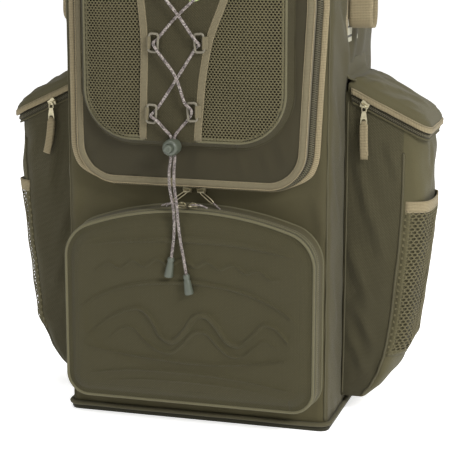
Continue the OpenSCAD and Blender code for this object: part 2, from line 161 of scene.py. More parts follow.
def cloth(name, color, pitch, kind="plain", rough=0.86, sheen=0.06, depth=0.35, contrast=0.16, fleck=0.08):
    """Woven fabric. pitch is the thread spacing in mm; kind is plain, twill, rib or rib_u."""
    n = Nodes(name)
    uv, u, v, obj = n.uv()
    k = math.pi / (pitch * MM)
    if kind == "twill":
        a = n.math("ADD", u, v)
        b = n.math("SUBTRACT", u, v)
        w1 = n.math("SINE", n.math("MULTIPLY", a, k * 1.414))
        w2 = n.math("SINE", n.math("MULTIPLY", b, k * 1.414))
        dots = n.math("MULTIPLY", n.math("MULTIPLY", w1, w2), 0.36)
        weave = n.math("ADD", dots, n.math("MULTIPLY", w1, 0.14))
        weave = n.math("ADD", weave, 0.5)
    elif kind in ("rib", "rib_u"):
        along, across = (v, u) if kind == "rib" else (u, v)
        w1 = n.math("ABSOLUTE", n.math("SINE", n.math("MULTIPLY", along, k)))
        w2 = n.math("SINE", n.math("MULTIPLY", across, k * 2.0))
        weave = n.math("ADD", w1, n.math("MULTIPLY", w2, 0.12))
    else:
        w1 = n.math("SINE", n.math("MULTIPLY", u, k * 2.0))
        w2 = n.math("SINE", n.math("MULTIPLY", v, k * 2.0))
        weave = n.math("ADD", n.math("MULTIPLY", n.math("MULTIPLY", w1, w2), 0.5), 0.5)
    blotch = n.noise(obj, 9.0, 4.0, 0.6)
    grain = n.noise(uv, 900.0, 2.0, 0.7)
    tone = n.math("ADD", n.math("MULTIPLY", blotch, 0.45), n.math("MULTIPLY", grain, fleck * 4))
    tone = n.math("ADD", tone, n.math("MULTIPLY", weave, contrast * 2.2))
    low = 0.45 * 0.3 + fleck * 4 * 0.3
    high = 0.45 * 0.7 + fleck * 4 * 0.7 + contrast * 2.2
    fac = n.add("MapRange")
    n.link(tone, fac.inputs[0])
    fac.inputs[1].default_value, fac.inputs[2].default_value = low, high
    col = n.ramp(fac.outputs[0], [(0.0, shade(color, 0.66)), (0.5, color), (1.0, shade(color, 1.32))])
    n.link(col, n.bsdf.inputs["Base Color"])
    rough_out = n.math("ADD", n.math("MULTIPLY", blotch, 0.16), rough - 0.08)
    n.link(rough_out, n.bsdf.inputs["Roughness"])
    height = n.math("ADD", weave, n.math("MULTIPLY", grain, 0.5))
    nrm = n.bump(height, depth, 0.35 * pitch * MM)
    n.link(nrm, n.bsdf.inputs["Normal"])
    n.bsdf.inputs["Sheen Weight"].default_value = sheen
    n.bsdf.inputs["Sheen Roughness"].default_value = 0.5
    n.bsdf.inputs["Specular IOR Level"].default_value = 0.3
    return n.mat


def hard(name, color, rough, metal=0.0, grain=400.0, wear=0.12, depth=0.05):
    """Plastic or metal with fine grain and uneven wear."""
    n = Nodes(name)
    _, _, _, obj = n.uv()
    blotch = n.noise(obj, 60.0, 5.0, 0.6)
    fine = n.noise(obj, grain, 3.0, 0.6)
    mix = n.math("ADD", n.math("MULTIPLY", blotch, 0.6), n.math("MULTIPLY", fine, 0.4))
    col = n.ramp(mix, [(0.3, shade(color, 1 - wear * 1.6)), (0.5, color), (0.72, shade(color, 1 + wear))])
    n.link(col, n.bsdf.inputs["Base Color"])
    n.link(n.math("ADD", n.math("MULTIPLY", blotch, 0.25), rough - 0.12), n.bsdf.inputs["Roughness"])
    n.bsdf.inputs["Metallic"].default_value = metal
    n.link(n.bump(fine, depth, 0.0003), n.bsdf.inputs["Normal"])
    return n.mat


def cord_material(name):
    """Braided elastic cord with dark and pale flecks."""
    n = Nodes(name)
    _, u, v, obj = n.uv()
    a = n.math("SINE", n.math("MULTIPLY", n.math("ADD", u, n.math("MULTIPLY", v, 1.0)), 2600.0))
    b = n.math("SINE", n.math("MULTIPLY", n.math("SUBTRACT", u, n.math("MULTIPLY", v, 1.0)), 2600.0))
    braid = n.math("MULTIPLY", n.math("ADD", a, b), 0.25)
    cell = n.add("TexVoronoi")
    cell.inputs["Scale"].default_value = 620.0
    n.link(obj, cell.inputs["Vector"])
    sep = n.add("SeparateColor")
    n.link(cell.outputs["Color"], sep.inputs[0])
    fac = n.math("ADD", n.math("MULTIPLY", braid, 0.25), sep.outputs[0])
    col = n.ramp(fac, [(0.1, (0.06, 0.048, 0.044)), (0.35, (0.14, 0.112, 0.10)),
                       (0.62, (0.20, 0.165, 0.148)), (0.9, (0.33, 0.29, 0.26))])
    n.link(col, n.bsdf.inputs["Base Color"])
    n.bsdf.inputs["Roughness"].default_value = 0.75
    n.bsdf.inputs["Sheen Weight"].default_value = 0.2
    n.link(n.bump(braid, 0.6, 0.0005), n.bsdf.inputs["Normal"])
    return n.mat


OLIVE = (0.055, 0.047, 0.020)
TAN = (0.225, 0.184, 0.106)
TAPE = (0.130, 0.110, 0.064)
M = {
    "body": cloth("fabric_body", OLIVE, 1.3, "plain", contrast=0.10),
    "twill": cloth("fabric_twill", (0.054, 0.047, 0.022), 2.3, "twill", contrast=0.75, depth=1.0),
    "side": cloth("fabric_side", (0.070, 0.061, 0.028), 1.3, "plain", contrast=0.10),
    "flap": cloth("fabric_flap", (0.029, 0.024, 0.010), 1.5, "plain", contrast=0.10),
    "strip": cloth("fabric_strip", (0.037, 0.031, 0.012), 2.3, "twill", contrast=0.60, depth=0.9),
    "shell": cloth("fabric_shell", (0.044, 0.038, 0.015), 2.3, "twill", contrast=0.85, depth=1.0),
    "lining": cloth("fabric_lining", (0.024, 0.022, 0.015), 0.9, "plain", contrast=0.1),
    "base": cloth("fabric_base", (0.021, 0.019, 0.008), 1.1, "plain", rough=0.75),
    "tape": cloth("tape_binding", TAPE, 1.6, "rib", contrast=0.16, depth=0.6),
    "tan": cloth("webbing_tan", TAN, 1.9, "rib", contrast=0.22, depth=0.8),
    "dark_web": cloth("webbing_dark", (0.033, 0.031, 0.017), 1.9, "rib", contrast=0.2, depth=0.7),
    "padmesh": cloth("pad_spacer_mesh", (0.030, 0.028, 0.017), 3.2, "plain", contrast=0.4, depth=0.9),
    "pad": cloth("pad_fabric", (0.048, 0.043, 0.023), 1.4, "plain"),
    "net": cloth("net_thread", (0.102, 0.088, 0.042), 0.9, "plain", contrast=0.2),
    # Dark colour for the shade inside the mesh pocket seen through the net's holes: painted shade. No piece
    # uses it.
    "net_hole_shade": cloth("net_hole_painted_shade", (0.025, 0.021, 0.011), 1.1, "plain", contrast=0.1),
    "piping": cloth("piping_fabric", (0.068, 0.060, 0.031), 1.1, "plain"),
    # The piping colour made brighter for the front pockets' piping: a painted highlight along it.
    "piping_painted_highlight": cloth("piping_painted_highlight", (0.102, 0.092, 0.050), 1.1, "plain"),
    "zip_tape": cloth("zip_tape", (0.039, 0.034, 0.019), 0.9, "rib", contrast=0.15),
    "coil": hard("zip_coil", (0.099, 0.087, 0.049), 0.5, wear=0.2),
    "brass": hard("zip_metal", (0.480, 0.432, 0.288), 0.33, metal=0.85, wear=0.22),
    "loop": hard("loop_plastic", (0.146, 0.130, 0.092), 0.5, wear=0.1),
    "lock": hard("lock_plastic", (0.068, 0.077, 0.056), 0.42, wear=0.12),
    "dark_plastic": hard("buckle_plastic", (0.018, 0.017, 0.012), 0.42, wear=0.3),
    "badge": hard("badge_face", (0.350, 0.420, 0.164), 0.5, wear=0.06),
    "badge_ring": hard("badge_ring", (0.16, 0.18, 0.08), 0.5, wear=0.06),
    "cord": cord_material("cord_braid"),
    "label": cloth("label_tape", (0.322, 0.308, 0.233), 1.0, "rib_u", contrast=0.12),
    "label_dark": cloth("label_stripe", (0.06, 0.055, 0.045), 1.0, "rib_u", contrast=0.12),
    "sheet": hard("frame_sheet_plastic", (0.02, 0.02, 0.02), 0.5, wear=0.2),
}


# ------------------------------------------------------------------ mesh helpers
def put(name, verts, faces, mats, body, uvs=None, face_mat=None, smooth=True, replaces=(), slot=None,
        auto=None):
    """Make one mesh piece from points in mm, with a UV map in metres, and let it ride on a body."""
    verts = np.asarray(verts, float)
    me = bpy.data.meshes.new(name)
    me.from_pydata((verts * MM).tolist(), [], [list(map(int, f)) for f in faces])
    me.update()
    for m in mats if isinstance(mats, (list, tuple)) else [mats]:
        me.materials.append(M[m])
    if face_mat is not None:
        me.polygons.foreach_set("material_index", np.asarray(face_mat, np.int32))
    layer = me.uv_layers.new(name="UVMap")
    loops = np.zeros(len(me.loops), np.int32)
    me.loops.foreach_get("vertex_index", loops)
    flat = verts[:, [0, 2]] if uvs is None else np.asarray(uvs, float)
    layer.data.foreach_set("uv", (flat[loops] * MM).astype(np.float32).ravel())
    me.polygons.foreach_set("use_smooth", np.full(len(me.polygons), smooth))
    me.validate()
    bm = bmesh.new()
    bm.from_mesh(me)
    bmesh.ops.remove_doubles(bm, verts=bm.verts, dist=2e-5)
    bmesh.ops.dissolve_degenerate(bm, edges=bm.edges, dist=1e-6)
    bmesh.ops.recalc_face_normals(bm, faces=bm.faces)
    bm.to_mesh(me)
    bm.free()
    me.update()
    o = bpy.data.objects.new(name, me)
    bpy.context.scene.collection.objects.link(o)
    if auto is not None:
        me.set_sharp_from_angle(angle=math.radians(auto))
    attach(o, body)
    if replaces:
        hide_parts(*([replaces] if isinstance(replaces, str) else replaces))
    return o


def grid_faces(nu, nv, close_u=False, start=0, flip=False):
    """Quads of an nu by nv lattice whose points run v fastest."""
    f = []
    for i in range(nu if close_u else nu - 1):
        for j in range(nv - 1):
            a, b = start + i * nv + j, start + ((i + 1) % nu) * nv + j
            q = (a, b, b + 1, a + 1)
            f.append(q[::-1] if flip else q)
    return f


class Build:
    """Collects points, UVs and faces of one piece."""

    def __init__(self):
        self.v, self.uv, self.f, self.m, self.n = [], [], [], [], 0

    def add(self, pts, faces, uvs=None, mat=0):
        pts = np.asarray(pts, float).reshape(-1, 3)
        uvs = pts[:, [0, 2]] if uvs is None else np.asarray(uvs, float).reshape(-1, 2)
        self.v.append(pts)
        self.uv.append(uvs)
        self.f += [[i + self.n for i in q] for q in faces]
        self.m += [mat] * len(faces)
        self.n += len(pts)

    def grid(self, p, uv=None, mat=0, close_u=False, flip=False):
        nu, nv = p.shape[:2]
        self.add(p.reshape(-1, 3), grid_faces(nu, nv, close_u, 0, flip),
                 None if uv is None else uv.reshape(-1, 2), mat)

    def put(self, name, mats, body, **kw):
        return put(name, np.concatenate(self.v), self.f, mats, body, uvs=np.concatenate(self.uv),
                   face_mat=self.m, **kw)


def unit(v):
    """Vectors scaled to length 1."""
    return v / np.linalg.norm(v, axis=-1)[..., None]


def distance(p):
    """How far along a polyline each of its points lies."""
    return np.concatenate([[0], np.cumsum(np.linalg.norm(np.diff(p, axis=0), axis=1))])


def spread(*parts):
    """Points from coordinates that may still need broadcasting."""
    return np.stack(np.broadcast_arrays(*parts), -1)


def outward(p):
    """Outward normals of a closed anticlockwise outline."""
    t = unit(np.roll(p, -1, 0) - np.roll(p, 1, 0))
    return np.stack([t[:, 1], -t[:, 0]], 1)


def arc(cx, cz, r, a0, a1, n):
    """n points of an arc between two angles in degrees."""
    a = np.radians(np.linspace(a0, a1, n))
    return np.stack([cx + r * np.cos(a), cz + r * np.sin(a)], 1)


def ring_faces(k, m, closed, flip=False):
    """Faces that join k rings of m points, with both ends closed on an open run."""
    faces = []
    for i in range(k if closed else k - 1):
        for j in range(m):
            a0, a1 = i * m + j, i * m + (j + 1) % m
            b0, b1 = ((i + 1) % k) * m + j, ((i + 1) % k) * m + (j + 1) % m
            faces.append((a0, b0, b1, a1) if flip else (a0, a1, b1, b0))
    if not closed:
        ends = [tuple(range(m)), tuple((k - 1) * m + j for j in range(m))]
        faces += [ends[0], ends[1][::-1]] if flip else [ends[0][::-1], ends[1]]
    return faces


def frames_along(p, closed=False, up=(0.0, 0.0, 1.0)):
    """Tangent, side and normal along a polyline, turning as little as they can."""
    p = np.asarray(p, float)
    if closed:
        t = np.roll(p, -1, 0) - np.roll(p, 1, 0)
    else:
        t = np.gradient(p, axis=0)
    t /= np.linalg.norm(t, axis=1)[:, None] + 1e-12
    n = np.zeros_like(p)
    ref = np.array(up, float)
    if abs(ref @ t[0]) > 0.95:
        ref = np.array((1.0, 0.0, 0.0))
    for i in range(len(p)):
        ref = ref - (ref @ t[i]) * t[i]
        ref /= np.linalg.norm(ref) + 1e-12
        n[i] = ref
    return t, np.cross(t, n), n


def resample(p, step, closed=False):
    """The same polyline with points about step apart."""
    p = np.asarray(p, float)
    q = np.vstack([p, p[:1]]) if closed else p
    d = distance(q)
    n = max(2, int(round(d[-1] / step)))
    s = np.linspace(0, d[-1], n + 1)
    if closed:
        s = s[:-1]
    return np.stack([np.interp(s, d, q[:, k]) for k in range(q.shape[1])], 1)


def catmull(p, n=8):
    """Smooth curve through points."""
    p = np.asarray(p, float)
    q = np.vstack([2 * p[0] - p[1], p, 2 * p[-1] - p[-2]])
    out = []
    for i in range(1, len(q) - 2):
        for t in np.linspace(0, 1, n, endpoint=False):
            a, b, c, d = q[i - 1: i + 3]
            out.append(0.5 * (2 * b + (c - a) * t + (2 * a - 5 * b + 4 * c - d) * t**2
                              + (3 * b - a - 3 * c + d) * t**3))
    out.append(p[-1])
    return np.array(out)


def across(path, side):
    """Width and face directions of a strap whose width lies along side."""
    t = frames_along(path)[0]
    s = np.broadcast_to(np.asarray(side, float), path.shape).copy()
    s = unit(s - (s * t).sum(1)[:, None] * t)
    return s, np.cross(s, t)


def tube_into(b, path, r, seg=10, closed=False, mat=0, up=(0.0, 0.0, 1.0)):
    """Round tube along a path. r may be one radius or one per point."""
    path = np.asarray(path, float)
    _, s, n = frames_along(path, closed, up)
    r = np.broadcast_to(np.asarray(r, float), (len(path),))
    a = np.arange(seg) * 2 * math.pi / seg
    ring = np.cos(a)[None, :, None] * s[:, None, :] + np.sin(a)[None, :, None] * n[:, None, :]
    p = path[:, None, :] + ring * r[:, None, None]
    uv = spread(a[None, :] * r.mean(), distance(path)[:, None])
    b.add(p.reshape(-1, 3), ring_faces(len(path), seg, closed), uv.reshape(-1, 2), mat)


def ribbon_into(b, path, width, thick, side, mat=0):
    """Flat strap: path is its middle line and side points across its width."""
    path = np.asarray(path, float)
    s, n = across(path, side)
    width = np.broadcast_to(np.asarray(width, float), (len(path),))
    x = np.linspace(-1, 1, 8)
    h = thick / 2 * np.clip((1 - np.abs(x) ** 6), 0, 1) ** 0.5
    h = np.maximum(h, thick * 0.12)
    out = x[None, :, None] * (width[:, None, None] / 2) * s[:, None]
    top = path[:, None] + out + h[None, :, None] * n[:, None]
    bot = path[:, None] + out[:, ::-1] - h[None, ::-1, None] * n[:, None]
    ring = np.concatenate([top, bot], 1)
    u = np.concatenate([x, x[::-1]])[None, :] * width[:, None] / 2
    uv = spread(u, distance(path)[:, None])
    b.add(ring.reshape(-1, 3), ring_faces(*ring.shape[:2], False, True), uv.reshape(-1, 2), mat)


def waves(p, seed, size, count=7):
    """Smooth random field in -1..1 over points p (n, k): a sum of slow sines."""
    rng = np.random.default_rng(seed)
    p = np.asarray(p, float)
    out = np.zeros(p.shape[:-1])
    for _ in range(count):
        d = rng.normal(size=p.shape[-1])
        d /= np.linalg.norm(d)
        k = 2 * math.pi / (size * rng.uniform(0.6, 1.7))
        out += np.sin(p @ d * k + rng.uniform(0, 6.28))
    return out / count * 1.6


def crease(q, a, b, width, height):
    """Height of one fold along the segment a-b over 2-D points q; it fades at both ends."""
    a, b = np.array(a, float), np.array(b, float)
    d = b - a
    t = np.clip(((q - a) @ d) / (d @ d), 0, 1)
    off = q - a - t[..., None] * d
    r = np.linalg.norm(off, axis=-1) / width
    side = np.sign(off[..., 0] * d[1] - off[..., 1] * d[0])
    fade = np.sin(np.pi * np.clip(t, 0.0, 1)) ** 0.6
    body = np.exp(-r**2) - 0.45 * np.exp(-((r - 1.7 * side) ** 2))
    return height * fade * body


def creases(q, folds):
    """Sum of folds, each given as (start, end, width, height)."""
    return sum(crease(q, *fold) for fold in folds)


def smoothstep(a, b, x):
    """Smooth rise from 0 at a to 1 at b."""
    t = np.clip((x - a) / (b - a), 0, 1)
    return t * t * (3 - 2 * t)


def outline(w, z0, z1, low, high, cx=0.0, step=3.0):
    """Upright rounded panel outline in x-z, anticlockwise seen from the front, with outward normals."""
    corners = ((w / 2 - low, z0 + low, low, -90), (w / 2 - high, z1 - high, high, 0),
               (-w / 2 + high, z1 - high, high, 90), (-w / 2 + low, z0 + low, low, 180))
    p = resample(np.vstack([arc(x, z, r, a, a + 90, 25) for x, z, r, a in corners]), step, closed=True)
    nrm = outward(p)
    p[:, 0] += cx
    return p, nrm


def upright(a, d, c):
    """A panel outline is in x-z and its depth runs along y."""
    return spread(a, d, c)


def flatwise(a, d, c):
    """A level outline is in x-y and its depth runs up."""
    return spread(a, c, d)


def loft(b, p, nrm, profile, place=upright, first=None, last=None, fill=26):
    """Closed cushion or tray. profile lists (grow, depth, material) rings of one outline; first and last
    are (relief, material) fills that close the first and last ring to their middle. relief(a, c, f) adds
    depth at f = 0 on the ring to 1 in the middle."""
    d = distance(p)
    rings = [(p[:, 0] + g * nrm[:, 0], np.full(len(p), float(y)), p[:, 1] + g * nrm[:, 1])
             for g, y, _ in profile]
    gone = 0.0
    for (r0, q0), (r1, q1) in zip(zip(rings, profile), zip(rings[1:], profile[1:])):
        step = math.hypot(q1[0] - q0[0], q1[1] - q0[1])
        pts = np.stack([place(*r0), place(*r1)], 1)
        uv = np.stack([np.stack([d, np.full(len(d), gone)], -1),
                       np.stack([d, np.full(len(d), gone + step)], -1)], 1)
        b.grid(pts, uv, q1[2], close_u=True)
        gone += step
    for ring, spec in ((rings[0], first), (rings[-1], last)):
        if spec is None:
            continue
        relief, mat = spec
        ca, cc = (ring[0].min() + ring[0].max()) / 2, (ring[2].min() + ring[2].max()) / 2
        f = np.linspace(0, 1, fill + 1)
        k = 1 - f
        k[-1] = 0.003
        a = ca + (ring[0][:, None] - ca) * k[None, :]
        c = cc + (ring[2][:, None] - cc) * k[None, :]
        dep = ring[1][:, None] + relief(a, c, np.broadcast_to(f[None, :], a.shape))
        pts = place(a, dep, c)
        b.grid(pts, np.stack([a, c], -1), mat, close_u=True)
        b.add(pts[:, -1], [tuple(range(len(p)))], np.stack([a[:, -1], c[:, -1]], -1), mat)


def dome(f):
    """Quarter circle from 0 at the rim to 1 in the middle."""
    return np.sqrt(np.clip(1 - (1 - f) ** 2, 0, 1))


def flat(a, c, f):
    """Relief of a level fill."""
    return 0.0 * a


def sweep(b, p, nrm, section, place=upright, closed=True, mat=0, extra=None):
    """Tape, piping or gusset that follows an outline. section is a closed ring of (grow, depth)."""
    sec = np.asarray(section, float)
    grow = np.broadcast_to(sec[None, :, 0], (len(p), len(sec)))
    dep = np.broadcast_to(sec[None, :, 1], grow.shape)
    if extra is not None:
        g2, d2 = extra(p)
        grow, dep = grow + g2, dep + d2
    a = p[:, None, 0] + grow * nrm[:, None, 0]
    c = p[:, None, 1] + grow * nrm[:, None, 1]
    P = place(a, dep, c)
    uv = spread(distance(sec)[None, :], distance(p)[:, None])
    b.add(P.reshape(-1, 3), ring_faces(*P.shape[:2], closed, True), uv.reshape(-1, 2), mat)


def ripple(height, seed, size, share):
    """Uneven growth for sweep(); share says how much of it each point of the section takes."""
    return lambda q: (height * waves(q, seed, size)[:, None] * np.array(share)[None, :], 0.0)


def part_of(p, nrm, keep):
    """The one run of a closed outline where keep is true."""
    keep = np.asarray(keep)
    start = [i for i in range(len(p)) if keep[i] and not keep[i - 1]]
    if not start:
        return p, nrm
    order = (np.arange(len(p)) + start[0]) % len(p)
    order = order[: int(np.argmin(keep[order])) if not keep[order].all() else len(p)]
    return p[order], nrm[order]


def tape_section(g0, d0, g1, d1, t, n=5):
    """Rounded flat section of thickness t between two (grow, depth) points."""
    a, c = np.array([g0, d0], float), np.array([g1, d1], float)
    u = (c - a) / np.linalg.norm(c - a)
    w = np.array([-u[1], u[0]]) * t / 2
    x = np.linspace(0, 1, n)
    bow = 1 - (2 * x - 1) ** 8 * 0.7
    top = a + np.outer(x, c - a) + bow[:, None] * w
    bot = a + np.outer(x[::-1], c - a) - bow[:, None] * w
    return np.vstack([top, bot])


def round_section(g, d, r, n=8):
    """Round cord section about a (grow, depth) point."""
    t = np.arange(n) * 2 * math.pi / n
    return np.stack([g + r * np.cos(t), d + r * np.sin(t)], 1)


def thick_into(b, P, t, uv=None, mat=0, flip=False):
    """Closed sheet of thickness t behind a lattice of points."""
    n = np.cross(np.gradient(P, axis=0), np.gradient(P, axis=1))
    n /= np.linalg.norm(n, axis=-1)[..., None] + 1e-12
    Q = P - (-n if flip else n) * t
    nu, nv = P.shape[:2]
    if uv is None:
        uv = spread(distance(P[:, nv // 2])[:, None], distance(P[nu // 2])[None, :])
    b.grid(P, uv, mat)
    b.grid(Q, uv, mat, flip=True)
    for i in (0, nv - 1):
        b.grid(np.stack([P[:, i], Q[:, i]], 1), np.stack([uv[:, i], uv[:, i] + [0, t]], 1), mat)
    for i in (0, nu - 1):
        b.grid(np.stack([P[i], Q[i]], 1), np.stack([uv[i], uv[i] + [t, 0]], 1), mat)


def net_into(b, inside, place, lo, hi, px, pz, hole=0.62, t=0.55, mat=0):
    """Knitted net of six-sided cells with rounded threads. place(a, d, c) puts it on its surface."""
    corner = [(0, 2), (1, 1), (1, -1), (0, -2), (-1, -1), (-1, 1)]
    index, pts, faces, used = {}, [], [], {}

    def point(key, a, d, c):
        if key not in index:
            index[key] = len(pts)
            pts.append((a, d, c))
        return index[key]

    rows, cols = int((hi[1] - lo[1]) / pz) + 1, int((hi[0] - lo[0]) / px) + 1
    for j in range(rows):
        for i in range(cols):
            ca, cc = lo[0] + (i + 0.5 * (j % 2)) * px, lo[1] + j * pz
            if not inside(ca, cc):
                continue
            k0, k1 = 2 * i + j % 2, 3 * j
            fr, bk, inn = [], [], []
            for n, (dx, dz) in enumerate(corner):
                a, c = dx * px / 2, dz * pz / 3
                fr.append(point((k0 + dx, k1 + dz, 0), ca + a, -t, cc + c))
                bk.append(point((k0 + dx, k1 + dz, 1), ca + a, t, cc + c))
                inn.append(point((k0, k1, 2 + n), ca + a * hole, 0.0, cc + c * hole))
            for n in range(6):
                m = (n + 1) % 6
                faces.append((fr[n], fr[m], inn[m], inn[n]))
                faces.append((bk[m], bk[n], inn[n], inn[m]))
                key = tuple(sorted((fr[n], fr[m])))
                used.setdefault(key, []).append((fr[n], fr[m], bk[m], bk[n]))
    faces += [q[0] for q in used.values() if len(q) == 1]
    v = np.array(pts)
    b.add(place(v[:, 0], v[:, 1], v[:, 2]), faces, v[:, [0, 2]], mat)


def lathe_into(b, origin, axis, profile, seg=32, mat=0):
    """Turned piece: profile lists (distance along the axis, radius)."""
    axis = np.array(axis, float) / np.linalg.norm(axis)
    s = np.cross(axis, (0.0, 0.0, 1.0) if abs(axis[2]) < 0.9 else (1.0, 0.0, 0.0))
    s /= np.linalg.norm(s)
    n = np.cross(axis, s)
    t = np.arange(seg) * 2 * math.pi / seg
    ring = np.cos(t)[:, None] * s + np.sin(t)[:, None] * n
    P = np.stack([np.array(origin) + axis * h + ring * max(r, 0.001) for h, r in profile], 1)
    uv = spread(t[:, None] * 5, np.arange(len(profile))[None, :] * 1.0)
    b.grid(P, uv, mat, close_u=True)
    for i in (0, -1):
        b.add(P[:, i], [tuple(range(seg))], None, mat)


def local(o, x, y, z):
    """Maps local points to place: columns of x, y and z directions at origin o."""
    m = np.array([x, y, z], float)
    m /= np.linalg.norm(m, axis=1)[:, None]
    return lambda q: np.asarray(o, float) + np.asarray(q, float) @ m


def plate_into(b, poly, z0, z1, to, hole=None, bevel=0.35, mat=0):
    """Bevelled plate from a 2-D outline between local z0 and z1, with an optional hole of as many
    points as the outline."""
    poly = np.asarray(poly, float)

    def shrink(q, k, sign=1):
        mid = q.mean(0)
        r = np.linalg.norm(q - mid, axis=1)[:, None]
        return mid + (q - mid) * (1 - sign * k / np.maximum(r, 1e-6))

    rings = [(shrink(poly, bevel), z0), (poly, z0 + bevel), (poly, z1 - bevel), (shrink(poly, bevel), z1)]
    if hole is not None:
        h = np.asarray(hole, float)
        rings += [(shrink(h, bevel, -1), z1), (h, z1 - bevel), (h, z0 + bevel), (shrink(h, bevel, -1), z0)]
    pts = [to(np.column_stack([q, np.full(len(q), z)])) for q, z in rings]
    n, m = len(poly), len(rings)
    faces = []
    for i in range(m if hole is not None else m - 1):
        j = (i + 1) % m
        for k in range(n):
            faces.append((i * n + k, i * n + (k + 1) % n, j * n + (k + 1) % n, j * n + k))
    if hole is None:
        faces += [tuple(range(n))[::-1], tuple((m - 1) * n + k for k in range(n))]
    b.add(np.concatenate(pts), faces, None, mat)


def rounded(w, h, r, n=5, cx=0.0, cy=0.0):
    """Rounded rectangle as 2-D points."""
    out = []
    for sx, sy, a0 in ((1, -1, -90), (1, 1, 0), (-1, 1, 90), (-1, -1, 180)):
        for a in np.radians(np.linspace(a0, a0 + 90, n)):
            out.append((cx + sx * (w / 2 - r) + r * math.cos(a), cy + sy * (h / 2 - r) + r * math.sin(a)))
    return np.array(out)


# ------------------------------------------------------------------ sizes shared with the CAD
FRONT, BACK, EDGE = -125.0, 125.0, 168.0
BAG_TOP = 640.0
BAG_PLAN = (2 * EDGE, FRONT, BACK, 12, 12)  # width, front, back and corner radii
FLAP = (292, 304, 606, 48, 24)  # width, bottom, top, lower and upper corner radii
OVAL = (250, 361, 596, 60, 60, -5)  # the same for the raised mesh pocket, then its middle
SADDLE_Z = 120  # middle height of the hip wings
SIDE_X, SIDE_OUT = 168.3, 266.3
SIDE_FRONT, SIDE_BACK = -42.0, 64.0
SLOPE = 0.433 / 0.9014
TAB_X = {"left": SIDE_X + 50, "right": SIDE_X + 25}


def rim_at(x):
    """Height of the side pockets' sloping rim."""
    return 414.0 - SLOPE * (np.abs(x) - SIDE_X)


# ------------------------------------------------------------------ free cord ends
LOCK_Y, CORD_D = -160.4, 3.5
END_LEFT = [(-19.4, LOCK_Y, 343.5), (-20.2, -161.5, 333), (-21, -162.8, 326), (-20, -165.4, 306),
            (-15, -168.4, 284), (-13, -169.4, 262), (-14, -169.9, 240), (-17, -169.9, 219),
            (-17.8, -169.9, 214)]
END_RIGHT = [(-14.6, LOCK_Y, 343.5), (-14.8, -161.5, 333), (-15, -162.8, 326), (-14, -165.4, 306),
             (-10, -168.4, 284), (-8, -169.4, 262), (-5, -169.9, 240), (-1, -169.9, 218),
             (2, -169.9, 199), (2.8, -169.9, 194)]


def free_cord(name, points, node):
    """Limp cord from the lock to its stopper."""
    pts = catmull(points, 6) * MM
    cu = bpy.data.curves.new(name, "CURVE")
    cu.dimensions = "3D"
    cu.bevel_depth = CORD_D / 2 * MM
    cu.bevel_resolution = 4
    cu.use_fill_caps = True
    sp = cu.splines.new("POLY")
    sp.points.add(len(pts) - 1)
    for i, q in enumerate(pts):
        sp.points[i].co = (*q, 1)
    cu.materials.append(M["cord"])
    o = bpy.data.objects.new(name, cu)
    bpy.context.scene.collection.objects.link(o)
    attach(o, "flap")
    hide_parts(node)
    return o


def stopper(name, top, tilt, node):
    """Bell-shaped cord end."""
    b = Build()
    t = math.radians(tilt)
    axis = np.array([-math.sin(t), 0, -math.cos(t)])
    prof = [(-0.6, 1.9), (-0.6, 3.3), (0.4, 3.9), (2.0, 4.1), (4.0, 4.0), (5.0, 3.5), (6.0, 3.6), (7.5, 4.2),
            (12, 4.6), (17, 5.0), (21.5, 5.5), (23.2, 5.4), (24.2, 4.7), (24.2, 2.6), (22.5, 2.2),
            (22.0, 0.4)]
    lathe_into(b, top, axis, prof, 28)
    return b.put(name, "lock", "flap", replaces=node, slot="lock_plastic", auto=40)


stop_l = stopper("cord_stopper_left", (-17, -169.9, 219), 9, "stopper_left")
stop_r = stopper("cord_stopper_right", (2, -169.9, 199), -9, "stopper_right")
free_cord("free_cord_left", END_LEFT, "cord_end_left")
free_cord("free_cord_right", END_RIGHT, "cord_end_right")

# ------------------------------------------------------------------ main bag
BAG_P, BAG_N = outline(*BAG_PLAN, step=4.0)


# folds of the side walls in y-z and of the front in x-z: start, end, width, height
SIDE_FOLDS = (((-28, 428), (-108, 520), 13, 4.2), ((-44, 424), (-70, 560), 11, 3.4),
              ((-20, 436), (20, 560), 14, 3.6), ((40, 436), (78, 600), 15, 3.2),
              ((-70, 330), (-112, 418), 11, 3.2), ((-72, 250), (-116, 320), 9, 2.4),
              ((-76, 120), (-112, 190), 10, 2.2), ((-70, 60), (-116, 110), 9, 2.0),
              ((-104, 40), (-70, 14), 8, 2.0))
FRONT_FOLDS = (((-120, 300), (-60, 276), 7, 1.4), ((60, 280), (140, 296), 8, 1.6),
               ((-20, 292), (30, 280), 6, 1.2), ((150, 300), (164, 240), 7, 1.3),
               ((-164, 250), (-150, 300), 7, 1.3), ((-168, 60), (-120, 12), 9, 2.2),
               ((160, 70), (110, 14), 9, 2.2), ((40, 12), (90, 26), 7, 1.4))


def bag_swell(x, y, z, nx, ny):
    """How far the padded wall stands off its flat plane."""
    side = np.abs(nx) > 0.7
    q = np.stack([y, z], -1)
    up = smoothstep(425, 500, z) * smoothstep(640, 600, z)
    r = 3.2 * up * np.sin(np.pi * np.clip((y + 125) / 250, 0, 1)) ** 0.7
    r += up * 1.6 * waves(np.stack([y, z * 0.6], -1), 3, 90)
    fold = creases(q, SIDE_FOLDS)
    r = r + fold + 0.8 * waves(q, 5, 46) * smoothstep(20, 60, z)
    r = np.where(side & (y > SIDE_FRONT + 2) & (y < SIDE_BACK - 2) & (z < 402), np.minimum(r, 0), r)
    qf = np.stack([x, z], -1)
    f = 0.7 * waves(qf, 8, 60)
    f = f + creases(qf, FRONT_FOLDS)
    f = np.clip(f, -1.2, 1.5) * smoothstep(6, 16, z)
    back = 0.8 * waves(qf, 9, 80)
    w = np.clip(np.abs(nx), 0, 1) ** 2
    out = w * r + (1 - w) * np.where(ny < 0, f, back)
    return out * smoothstep(4, 16, z) * smoothstep(641, 626, z)


